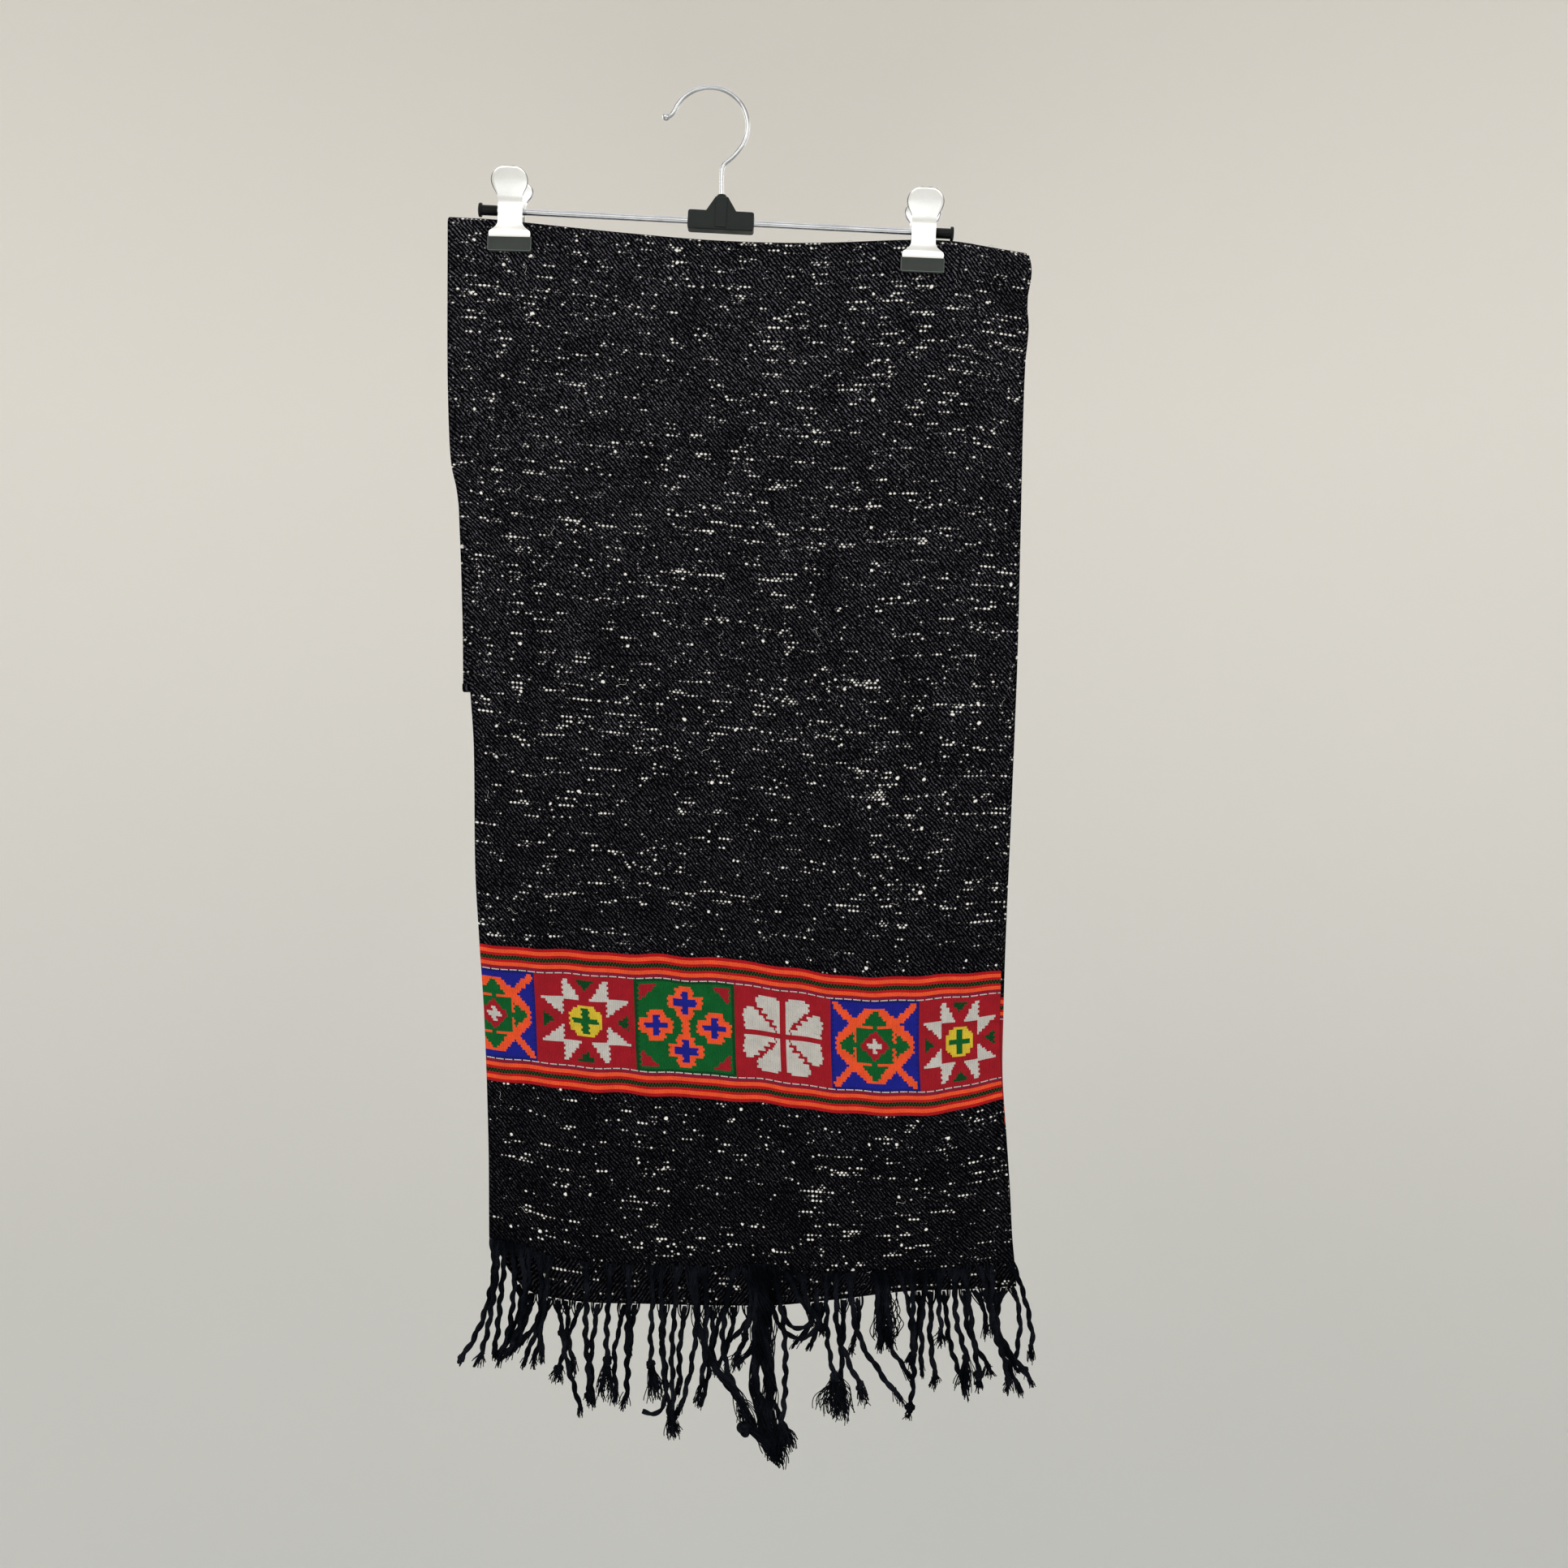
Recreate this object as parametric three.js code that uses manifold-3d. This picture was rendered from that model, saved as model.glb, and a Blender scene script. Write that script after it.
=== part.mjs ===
// A fringed wool stole, folded in half along its length and hung from a clip hanger.
// Millimetres. +Z is up, the front faces -Y, and the origin is the inside top of the hook.
// The cloth is a hairpin of two layers, joined by the lengthwise fold at the left. The hairpin
// runs from the hem up the front, over the top, down the back and in at the bottom fold.

import * as THREE from 'three';
import { mergeVertices } from 'three/addons/utils/BufferGeometryUtils.js';
import Module from 'manifold-3d';

// Cloth
const WALL = 1.1; // one layer of twill
const LAYER_GAP = 0.35; // air between two layers
const SEAM_GAP = 0.5; // between two stretches of the cloth
const INNER_HALF = 2.65; // half the thickness of the folds inside the stack
const INNER_LAYERS = 6;
const STACK_HALF = INNER_HALF + 2 * (LAYER_GAP + WALL); // outer face of the front layer
const TURN = (WALL + LAYER_GAP) / 2; // middle radius of the lengthwise fold
const TURN_DEPTH = STACK_HALF - WALL / 2 - TURN; // depth of that fold's axis
const UNDER_REACH = 2; // how far the under layer's selvedge passes the front one's

// Bottom fold of the stack behind
const BOTTOM_FOLD_Z = -410;
const BOTTOM_FOLD_AXIS = INNER_HALF + LAYER_GAP - 0.25;
const BOTTOM_LIP = 3;
const BACK_START = 8; // the back run starts this far below the top fold's axis

// Fringe
const STRIP_HEIGHT = 2.5; // the narrow strip that the strands grow from
const STRIP_GAP = 0.6;
const STRAND_RADIUS = 1.7;
const FIRST_LANE = 1.35; // from a strand's root out to the first lane
const LANE_PITCH = 3.5; // strands that cross pass each other in lanes this far apart
const LANE_CLEARANCE = 3.4;

// Hanger
const ROD_RADIUS = 2.2;
const ROD_TILT = THREE.MathUtils.degToRad(2.92); // the right end hangs lower
const ROD_LEFT = -165;
const ROD_RIGHT = 158.5;
const BLOCK_AT = new THREE.Vector3(7.7, 0, -90.2);
const BLOCK_WIDTH = 45;
const BLOCK_HEIGHT = 13;
const BLOCK_DEPTH = 11;
const BLOCK_BEVEL = 0.8;
const BLOCK_NECK = 9.5; // height of the neck above the block
const CAP_SLEEVE = { radius: 3.5, length: 10.5 };
const CAP_FLANGE = { radius: 4.8, length: 2.2 };
const HOOK_WIRE = 1.5;
const HOOK_RADIUS = 26; // to the middle of the wire
const HOOK_CENTRE_Z = HOOK_WIRE - HOOK_RADIUS;
const HOOK_BALL = 2.6;
const HOOK_STEM_X = 8.2;
const SOCKET_FLOOR_Z = -83.5; // how deep the stem reaches into the block

// Clips
const CLIP_PLATE = 0.9;
const EAR_RADIUS = 4; // of the ear's nose, round the rod
const COIL = { radius: 3, wire: 0.5, turns: 3, halfWidth: 3.2 };
const CLIP_PAD = { width: 29.4, height: 9.4, front: 9.5, back: STACK_HALF + 0.15 };
const JAW_LIP_Z = -19.5; // the lip under the jaw's flare that the pad is moulded on
const CLIP_EAR = 7.2; // half the distance between the front lever's ears
const CLIPS = [
  { side: 'left', x: -134.6, tilt: 1.3 },
  { side: 'right', x: 145.3, tilt: 2.5 },
];

// Left fold of the hanging cloth: height, distance across
const LEFT_FOLD = [
  [-850, -149],
  [-779, -149.6],
  [-711, -150.2],
  [-629, -152.9],
  [-579, -156.2],
  [-530, -159],
  [-447, -160],
  [-409, -162.3],
  [-359, -165],
  [-311, -166.7],
  [-289, -169.4],
  [-271, -171.8],
  [-257, -174.9],
  [-233, -176.6],
  [-183, -177.7],
  [-80, -177.7],
];

// Right selvedge of the front layer: height, distance across
const RIGHT_SELVEDGE = [
  [-850, 207],
  [-796, 206.3],
  [-761, 203.5],
  [-728, 201.9],
  [-695, 199.7],
  [-651, 196.9],
  [-612, 197.5],
  [-563, 199],
  [-475, 203],
  [-381, 206.8],
  [-271, 209.6],
  [-222, 210.7],
  [-183, 212.3],
  [-160, 214.6],
  [-143, 213.6],
  [-123, 216.7],
  [-108, 214.5],
];

// Top fold: distance across, height
const TOP_FOLD = [
  [-178, -86.7],
  [-144, -88.6],
  [-97, -93.5],
  [-50, -98.2],
  [0, -102.4],
  [47, -104.2],
  [86, -104],
  [134, -102.3],
  [165, -103.1],
  [194, -107.8],
  [215, -111.4],
];

// Upper and lower edge of the woven border on the front layer: distance across, height
const BORDER_TOP = [
  [-157, -580.5],
  [-96, -585.2],
  [-30, -588.5],
  [20, -591.8],
  [61, -598.4],
  [100, -602.6],
  [135, -603.4],
  [168, -600.4],
  [198, -599.6],
];
const BORDER_FOOT = [
  [-152, -672.4],
  [-120, -676.5],
  [-63, -682],
  [3, -686.4],
  [61, -691.9],
  [94, -695.8],
  [127, -697.4],
  [168, -694.1],
  [200, -685.6],
];

// Hem of the front layer: distance across, height
const HEM = [
  [-150, -779.4],
  [-129, -783.2],
  [-109, -790.4],
  [-82, -795.3],
  [-54, -797],
  [9, -799.7],
  [61, -802.5],
  [135, -800.8],
  [167, -799.7],
  [206, -795.9],
];

// How far the under layer hangs below the front one: distance from the fold, drop
const UNDER_DROP_AT_BORDER = [
  [0, 0],
  [40, 8],
  [90, 15],
  [200, 18],
  [360, 18],
];
const UNDER_DROP_AT_HEM = [
  [0, 0],
  [4, 5],
  [14, 21],
  [25, 30],
  [45, 29],
  [95, 28],
  [180, 26],
  [232, 20],
  [285, 15.5],
  [356, 17.6],
];

// Strands from the front hem: root, length, lean of the tip, bow to the side
const FRONT_STRANDS = [
  [-147, 82, -22, 9],
  [-143, 84, -14, 4],
  [-139, 80, -8, 2],
  [-134, 81, -9, 6],
  [-129, 75, -9, 9],
  [-123, 69, -9, 4],
  [-116, 78, -12, 8],
  [-109, 73, -10, 3],
  [-83, 93, 2, -1],
  [-67, 93, -2, -1],
  [-55, 97, -2, 1],
  [-39, 93, -2, 1],
  [-33, 113, 7, -2],
  [-22, 110, -3, -1],
  [-10, 103, -13, 7],
  [-4, 89, -4, 4],
  [17, 116, 19, -16],
  [26, 65, -11, 7],
  [33, 138, 18, -10],
  [38, 133, 10, -4],
  [44, 124, 0, 8],
  [52, 34, 19, 0],
  [61, 38, 16, -2],
  [79, 97, 12, -4],
  [86, 86, 21, -8],
  [95, 89, 37, -11],
  [112, 51, 3, 1],
  [119, 50, 4, 0],
  [129, 96, 6, 6],
  [136, 61, 2, 1],
  [147, 70, -4, -1],
  [155, 51, 2, 0],
  [166, 65, 9, -3],
  [172, 84, 11, 1],
  [184, 80, 19, 0],
  [191, 46, 0, 0],
  [204, 63, 14, 5],
];

// Strands from the under layer's hem: root, length, lean of the tip, bow to the side
const UNDER_STRANDS = [
  [-129, 48, -15, 6],
  [-121, 40, -16, 4],
  [-114, 33, -16, 6],
  [-108, 42, -5, -4],
  [-103, 78, 16, -2],
  [-97, 47, 4, -1],
  [-88, 49, -16, 0],
  [-76, 68, -4, -2],
  [-58, 64, -6, -3],
  [-51, 34, -4, 0],
  [-31, 52, 1, -1],
  [-17, 58, -4, -1],
  [1, 68, -8, 4],
  [10, 75, 17, -15],
  [16, 45, -13, 4],
  [26, 24, -14, 6],
  [40, 95, 17, -10],
  [70, 27, -12, 5],
  [76, 30, -9, 3],
  [91, 80, -2, 0],
  [100, 36, -6, 4],
  [117, 57, 20, -7],
  [142, 45, -6, 3],
  [150, 64, 3, -1],
  [159, 72, 16, -3],
  [173, 58, 20, -6],
  [180, 26, 7, 3],
  [187, 70, 24, -3],
  [194, 67, 28, -9],
  [200, 57, 9, -8],
  [206, 63, -3, 8],
];

// Front lever of a clip: height above the rod, half width, distance in front of the rod
const LEVER = [
  [25.6, 3.2, 18.2],
  [25, 6.2, 18],
  [23, 9.6, 17.2],
  [20.5, 11.6, 16.2],
  [17, 12.4, 14.7],
  [13.5, 11.5, 12.9],
  [10, 9.5, 10.9],
  [7, 8.4, 9.3],
  [3, 8.2, 8.2],
  [-8.5, 8.2, 8],
  [-11.5, 9, 8.4],
  [-14, 11.2, 9],
  [-15.8, 13.6, 9.4],
  [-19.3, 13.9, 9.1],
  [JAW_LIP_Z, 12.6, 8.3],
  [JAW_LIP_Z - 2.5, 12.6, 8.2],
];

const wasm = await Module();
wasm.setup();

// A smooth line through a table's rows, flat beyond its ends.
function curveThrough(rows) {
  const slopes = rows.map((row, i) => {
    const before = rows[Math.max(i - 1, 0)];
    const after = rows[Math.min(i + 1, rows.length - 1)];
    return (after[1] - before[1]) / (after[0] - before[0]);
  });
  return (at) => {
    let i = 0;
    while (i < rows.length - 2 && at > rows[i + 1][0]) i += 1;
    const step = rows[i + 1][0] - rows[i][0];
    const t = THREE.MathUtils.clamp((at - rows[i][0]) / step, 0, 1);
    const ease = t * t * (3 - 2 * t);
    const rise = t * (1 - t) * (1 - t) * slopes[i] * step;
    const fall = t * t * (1 - t) * slopes[i + 1] * step;
    return rows[i][1] + (rows[i + 1][1] - rows[i][1]) * ease + rise - fall;
  };
}

const leftFold = curveThrough(LEFT_FOLD);
const rightSelvedge = curveThrough(RIGHT_SELVEDGE);
const topFold = curveThrough(TOP_FOLD);
const borderTop = curveThrough(BORDER_TOP);
const borderFoot = curveThrough(BORDER_FOOT);
const hem = curveThrough(HEM);
const dropAtBorder = curveThrough(UNDER_DROP_AT_BORDER);
const dropAtHem = curveThrough(UNDER_DROP_AT_HEM);
const { lerp, smoothstep } = THREE.MathUtils;

const topAxis = (x) => topFold(x) - STACK_HALF;

// Levels across the cloth, as height at x on a layer (0 the front one, 1 the under one).
const LEVELS = {
  top: (x) => topAxis(x),
  borderTop: (x, layer) => borderTop(x) - layer * dropAtBorder(x - leftFold(-590)),
  borderFoot: (x, layer) => borderFoot(x) - layer * dropAtBorder(x - leftFold(-680)),
  hem: (x, layer) => hem(x) - layer * dropAtHem(x - leftFold(-790)),
};

// Soft folds of the free-hanging end: how far the cloth stands back at x and z.
function sway(x, z) {
  const free = smoothstep(-z, 400, 800);
  return free * (1.7 * Math.sin((x + 40) / 34) + 0.8 * Math.sin((x - 20) / 17));
}

// A closed skin over rings of points, with its two ends closed by the given triangles.
function loft(rings, endTriangles) {
  const count = rings[0].length;
  const triangles = [];
  rings.slice(1).forEach((ring, j) => {
    ring.forEach((point, i) => {
      const a = j * count + i;
      const b = j * count + ((i + 1) % count);
      triangles.push(a, b, b + count, a, b + count, a + count);
    });
  });
  const last = (rings.length - 1) * count;
  endTriangles.forEach(([a, b, c]) => {
    triangles.push(c, b, a);
    triangles.push(last + a, last + b, last + c);
  });
  const geometry = new THREE.BufferGeometry().setFromPoints(rings.flat());
  geometry.setIndex(triangles);
  return facingOut(geometry);
}

// The end triangles of a ring whose second half runs back along its first half.
function stripEnd(count) {
  const triangles = [];
  for (let i = 0; i < count / 2 - 1; i += 1) {
    const j = count - 1 - i;
    triangles.push([i, i + 1, j - 1], [i, j - 1, j]);
  }
  return triangles;
}

function fanEnd(count) {
  return Array.from({ length: count - 2 }, (_, i) => [0, i + 1, i + 2]);
}

function facingOut(geometry) {
  const at = geometry.attributes.position;
  const index = geometry.index.array;
  const [a, b, c] = [new THREE.Vector3(), new THREE.Vector3(), new THREE.Vector3()];
  let volume = 0;
  for (let i = 0; i < index.length; i += 3) {
    a.fromBufferAttribute(at, index[i]);
    b.fromBufferAttribute(at, index[i + 1]);
    c.fromBufferAttribute(at, index[i + 2]);
    volume += a.dot(b.cross(c));
  }
  if (volume < 0) geometry.setIndex(Array.from(index).reverse());
  geometry.computeVertexNormals();
  return geometry;
}

function toSolid(geometry) {
  const bare = geometry.clone();
  bare.deleteAttribute('normal');
  bare.deleteAttribute('uv');
  const whole = facingOut(mergeVertices(bare, 1e-4));
  return new wasm.Manifold(new wasm.Mesh({
    numProp: 3,
    vertProperties: new Float32Array(whole.attributes.position.array),
    triVerts: new Uint32Array(whole.index.array),
  }));
}

function toGeometry(solid) {
  const mesh = solid.getMesh();
  const geometry = new THREE.BufferGeometry();
  geometry.setAttribute('position', new THREE.BufferAttribute(mesh.vertProperties, 3));
  geometry.setIndex(Array.from(mesh.triVerts));
  geometry.computeVertexNormals();
  return geometry;
}

const union = (geometries) => toGeometry(wasm.Manifold.union(geometries.map(toSolid)));

function cut(geometry, tools) {
  return toGeometry(tools.map(toSolid).reduce((solid, tool) => solid.subtract(tool), toSolid(geometry)));
}

// Points across the hairpin, from the front selvedge round the fold to the under selvedge.
const ACROSS = 16;
const ROUND_FOLD = 4;
const steps = (count) => Array.from({ length: count + 1 }, (_, i) => i / count);
const SHARES = steps(ACROSS).map((t) => t - (0.5 * Math.sin(2 * Math.PI * t)) / (2 * Math.PI));
const ACROSS_POINTS = [
  ...SHARES.slice(1).reverse().map((share) => ({ share, turn: 0 })),
  ...steps(ROUND_FOLD).map((part) => ({ share: 0, turn: part * Math.PI })),
  ...SHARES.slice(1).map((share) => ({ share, turn: Math.PI })),
];

// One point of the hairpin's section: its place across, its depth and its layer.
function sectionPoint({ share, turn }, face, left, right) {
  const radius = TURN + (face * WALL) / 2;
  const layer = (1 - Math.cos(turn)) / 2;
  const fold = left + TURN + WALL / 2;
  return {
    x: lerp(fold, right + layer * UNDER_REACH, share) - radius * Math.sin(turn),
    depth: TURN_DEPTH + radius * Math.cos(turn),
    layer,
  };
}

// The ring of one station, where place() turns a section point into a point in space.
function sheetRing(edges, place) {
  const line = (face) => ACROSS_POINTS.map((p) => place(sectionPoint(p, face, edges.left, edges.right)));
  return [...line(1), ...line(-1).reverse()];
}

// A station of the front drop, part way from one level down to another.
function frontRing(upper, lower, part, shift = 0) {
  const heightAt = (x, layer) => lerp(upper(x, layer), lower(x, layer), part) + shift;
  const edges = {
    left: leftFold(heightAt(-165, 0)),
    right: rightSelvedge(heightAt(205, 0)),
  };
  return sheetRing(edges, ({ x, depth, layer }) => {
    const z = heightAt(x, layer);
    return new THREE.Vector3(x, sway(x, z) - depth, z);
  });
}

const TOP_EDGES = { left: leftFold(-95), right: rightSelvedge(-112) };

function topRing(angle) {
  return sheetRing(TOP_EDGES, ({ x, depth }) => new THREE.Vector3(
    x,
    -depth * Math.cos(angle),
    topAxis(x) + depth * Math.sin(angle),
  ));
}

// Edges of the stack behind, which narrows a little more than the front drop.
function backEdges(part) {
  return {
    left: lerp(TOP_EDGES.left, -168.6, smoothstep(part, 0, 1)),
    right: lerp(TOP_EDGES.right, 199, smoothstep(part, 0, 1)),
  };
}

const backBottom = BOTTOM_FOLD_Z + STACK_HALF - BOTTOM_FOLD_AXIS;

function backRing(part) {
  return sheetRing(backEdges(part), ({ x, depth }) => new THREE.Vector3(
    x,
    depth,
    lerp(topAxis(x) - BACK_START, backBottom, part),
  ));
}

function bottomRing(angle, lift = 0) {
  return sheetRing(backEdges(1), ({ x, depth }) => {
    const radius = depth - BOTTOM_FOLD_AXIS;
    return new THREE.Vector3(
      x,
      BOTTOM_FOLD_AXIS + radius * Math.cos(angle),
      backBottom - radius * Math.sin(angle) + lift,
    );
  });
}

const SHEET_END = stripEnd(4 * ACROSS + 2 * ROUND_FOLD + 2);

function frontDrop() {
  const { top, borderTop: lower } = LEVELS;
  const hanging = steps(11).reverse().map((part) => frontRing(top, lower, part, (part * SEAM_GAP) / 2));
  const over = steps(5).slice(1).map((part) => topRing(part * Math.PI));
  const behind = topRing(Math.PI).map((p) => p.clone().add(new THREE.Vector3(0, 0, SEAM_GAP - BACK_START)));
  return loft([...hanging, ...over, behind], SHEET_END);
}

function borderBand() {
  const { borderTop: upper, borderFoot: lower } = LEVELS;
  const shift = (part) => SEAM_GAP * (part - 0.5);
  return loft(steps(3).map((part) => frontRing(upper, lower, part, shift(part))), SHEET_END);
}

function endCloth() {
  const { borderFoot: upper, hem: lower } = LEVELS;
  const shift = (part) => ((part - 1) * SEAM_GAP) / 2;
  return loft(steps(4).map((part) => frontRing(upper, lower, part, shift(part))), SHEET_END);
}

function backRun() {
  const down = steps(4).map(backRing);
  const round = steps(5).slice(1).map((part) => bottomRing(part * Math.PI));
  return loft([...down, ...round, bottomRing(Math.PI, BOTTOM_LIP)], SHEET_END);
}

// The runs folded inside the stack: one rounded solid with a groove between each two layers.
function innerFolds() {
  const bottomZ = BOTTOM_FOLD_Z + STACK_HALF + BOTTOM_LIP + 1.5;
  const layerHeight = 1 / INNER_LAYERS;
  // Half of a ring, from the left edge's middle along the front to the right edge's middle.
  const edge = [0, 1, 2].flatMap((i) => [
    { depth: Math.max(2 * i * layerHeight, 0.08), inset: 0.9 },
    { depth: (2 * i + 1) * layerHeight, inset: 0 },
  ]);
  const flat = steps(10).map((share) => ({ depth: 1, share }));
  const half = [
    ...edge.map((p) => ({ ...p, share: 0 })),
    ...flat.map((p) => ({ ...p, inset: p.share % 1 ? 0 : 1.1 })),
    ...[...edge].reverse().map((p) => ({ ...p, share: 1 })),
  ];
  const ring = (part) => {
    const round = Math.sqrt(1 - Math.max(0, Math.abs(part - 0.5) * 2 * 1.0133 - 0.0133) ** 60);
    const thick = INNER_HALF * Math.max(0.35, round);
    const edges = backEdges(1 - part);
    const atEnd = part === 0 || part === 1;
    const points = (side) => half.map(({ depth, inset, share }) => {
      const rounded = atEnd ? 1.5 * depth * depth : inset;
      const sidewards = share < 0.5 ? rounded : -rounded;
      const x = lerp(edges.left + 7, edges.right - 7, share) + (share % 1 ? 0 : sidewards);
      return new THREE.Vector3(x, side * depth * thick, lerp(bottomZ, topAxis(x) + INNER_HALF - 0.8, part));
    });
    return [...points(-1), ...points(1).reverse()];
  };
  const levels = [0, 0.004, 0.012, 0.2, 0.4, 0.6, 0.8, 0.988, 0.996, 1];
  return loft(levels.map(ring), stripEnd(2 * half.length));
}

// A strand's middle line, from its root under the hem to its tip.
function strandLine([root, length, lean, bow], level, laneDepth, rootDepth) {
  const top = level(root);
  return (t) => {
    const x = root + lean * t + bow * Math.sin(Math.PI * t);
    const settle = smoothstep(t * length, 0, 14);
    const curl = 0.5 * Math.sin(3 * Math.PI * t) * smoothstep(t, 0, 0.3);
    const y = sway(root, top) + lerp(rootDepth, laneDepth, settle);
    return new THREE.Vector3(x + curl, y, top - STRIP_GAP - 0.6 - length * t);
  };
}

// The least distance between two strands as seen from the front.
function nearest(lineA, lineB) {
  const points = (line) => steps(24).map(line);
  const other = points(lineB);
  return Math.min(...points(lineA).flatMap((p) => other.map((q) => Math.hypot(p.x - q.x, p.z - q.z))));
}

// A strand's solid: slim at its root, where its threads lie flat against the cloth.
function strandTube(line, length) {
  const girth = (t) => STRAND_RADIUS * (t < 0.05 ? 0.62 : t > 0.95 ? 0.75 : 1);
  const bends = length > 60 ? [0, 0.14, 0.3, 0.5, 0.7, 0.85, 1] : [0, 0.25, 0.5, 0.78, 1];
  const rings = bends.map((t) => {
    const middle = line(t);
    const ahead = line(Math.min(t + 0.02, 1)).sub(line(Math.max(t - 0.02, 0))).normalize();
    const across = new THREE.Vector3(0, 1, 0).cross(ahead).normalize();
    const depth = ahead.clone().cross(across);
    return [0, 1, 2, 3].map((corner) => {
      const angle = (corner * Math.PI) / 2;
      return middle.clone()
        .addScaledVector(across, girth(t) * Math.cos(angle))
        .addScaledVector(depth, girth(t) * Math.sin(angle));
    });
  });
  return loft(rings, fanEnd(4));
}

// The hem of a layer as straight runs between the points across the cloth.
function hemLine(layer) {
  const left = leftFold(hem(-165)) + TURN + WALL / 2;
  const right = rightSelvedge(hem(205)) + layer * UNDER_REACH;
  const stations = SHARES.map((share) => lerp(left, right, share));
  const level = (x) => {
    const passed = stations.filter((at) => at <= x).length;
    const i = THREE.MathUtils.clamp(passed, 1, ACROSS);
    const [a, b] = [stations[i - 1], stations[i]];
    return lerp(LEVELS.hem(a, layer), LEVELS.hem(b, layer), (x - a) / (b - a));
  };
  return { stations, level };
}

// The strip under a layer's hem, with every strand grown from it.
function fringe(rows, layer, away) {
  const { stations, level } = hemLine(layer);
  const middle = TURN_DEPTH + (layer ? -TURN : TURN);
  const rootDepth = -middle + away * 0.55;
  const lanes = [];
  const tubes = rows.map((row) => {
    const lineIn = (lane) => {
      const laneDepth = rootDepth + away * (FIRST_LANE + lane * LANE_PITCH);
      return strandLine(row, level, laneDepth, rootDepth);
    };
    const flat = lineIn(0);
    const free = (taken) => taken.every((other) => nearest(flat, other) > LANE_CLEARANCE);
    let lane = lanes.findIndex(free);
    if (lane < 0) lane = lanes.push([]) - 1;
    lanes[lane].push(flat);
    return strandTube(lineIn(lane), row[1]);
  });
  const from = rows[0][0] - 1.4;
  const to = rows[rows.length - 1][0] + 1.4;
  const strip = [from, ...stations.filter((x) => x > from && x < to), to].map((x) => {
    const slope = level(x + 1) - level(x - 1);
    const top = level(x) - STRIP_GAP * Math.hypot(1, slope / 2);
    const y = sway(x, top) - middle;
    const corner = (dy, dz) => new THREE.Vector3(x, y + (dy * WALL) / 2, top - dz);
    return [corner(-1, 0), corner(1, 0), corner(1, STRIP_HEIGHT), corner(-1, STRIP_HEIGHT)];
  });
  return union([loft(strip, fanEnd(4)), ...tubes]);
}

// A round bar along a line, from start to end.
function bar(radius, start, end, sides = 24) {
  const along = end.clone().sub(start);
  const geometry = new THREE.CylinderGeometry(radius, radius, along.length(), sides);
  const up = new THREE.Vector3(0, 1, 0);
  geometry.applyQuaternion(new THREE.Quaternion().setFromUnitVectors(up, along.normalize()));
  const middle = start.clone().add(end).multiplyScalar(0.5);
  return geometry.translate(middle.x, middle.y, middle.z);
}

const alongRod = (x, y = 0, z = 0) => new THREE.Vector3(x, y, z);

function onHanger(geometry) {
  return geometry.rotateY(ROD_TILT).translate(BLOCK_AT.x, BLOCK_AT.y, BLOCK_AT.z);
}

const rod = () => onHanger(bar(ROD_RADIUS, alongRod(ROD_LEFT + 1.2), alongRod(ROD_RIGHT - 1.2)));

function endCap(end, inward) {
  const profile = [
    [0, 0],
    [CAP_FLANGE.radius - 0.5, 0],
    [CAP_FLANGE.radius, 0.5],
    [CAP_FLANGE.radius, CAP_FLANGE.length],
    [CAP_SLEEVE.radius, CAP_FLANGE.length],
    [CAP_SLEEVE.radius, CAP_FLANGE.length + CAP_SLEEVE.length],
    [ROD_RADIUS + 0.1, CAP_FLANGE.length + CAP_SLEEVE.length],
    [ROD_RADIUS + 0.1, 1.1],
    [0, 1.1],
  ].map(([radius, height]) => new THREE.Vector2(radius, height));
  const lathe = new THREE.LatheGeometry(profile, 24);
  lathe.rotateZ((-inward * Math.PI) / 2).translate(end, 0, 0);
  return onHanger(toGeometry(toSolid(lathe)));
}

// The block that the hook turns in: a rounded bar with a tapered neck, seen from the front.
function centreBlock() {
  const [w, h] = [BLOCK_WIDTH / 2, BLOCK_HEIGHT / 2];
  const shape = new THREE.Shape();
  shape.moveTo(-w + 2, -h);
  shape.lineTo(w - 2, -h);
  shape.quadraticCurveTo(w, -h, w, -h + 2);
  shape.lineTo(w, h - 2);
  shape.quadraticCurveTo(w, h, w - 2, h);
  shape.lineTo(10.2, h);
  shape.lineTo(4.2, h + BLOCK_NECK);
  shape.lineTo(-4.2, h + BLOCK_NECK);
  shape.lineTo(-10.2, h);
  shape.lineTo(-w + 2, h);
  shape.quadraticCurveTo(-w, h, -w, h - 2);
  shape.lineTo(-w, -h + 2);
  shape.quadraticCurveTo(-w, -h, -w + 2, -h);
  const body = new THREE.ExtrudeGeometry(shape, {
    depth: BLOCK_DEPTH - 2 * BLOCK_BEVEL,
    bevelSize: BLOCK_BEVEL,
    bevelThickness: BLOCK_BEVEL,
    bevelOffset: -BLOCK_BEVEL,
    bevelSegments: 2,
    curveSegments: 4,
  });
  body.rotateX(Math.PI / 2).translate(0, BLOCK_DEPTH / 2 - BLOCK_BEVEL, 0);
  const bore = bar(ROD_RADIUS + 0.1, alongRod(-w - 1), alongRod(w + 1));
  const placed = onHanger(cut(body, [bore]));
  const floor = new THREE.Vector3(HOOK_STEM_X, 0, SOCKET_FLOOR_Z);
  const socket = bar(HOOK_WIRE + 0.1, floor, floor.clone().setZ(-60));
  return cut(placed, [socket]);
}

// A round wire along a curve, closed at both ends.
function wireAlong(extrudePath, radius, count, curveSegments) {
  const circle = new THREE.Shape().absarc(0, 0, radius, 0, 2 * Math.PI);
  const options = { steps: count, curveSegments, extrudePath, bevelEnabled: false };
  return new THREE.ExtrudeGeometry(circle, options);
}

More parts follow.
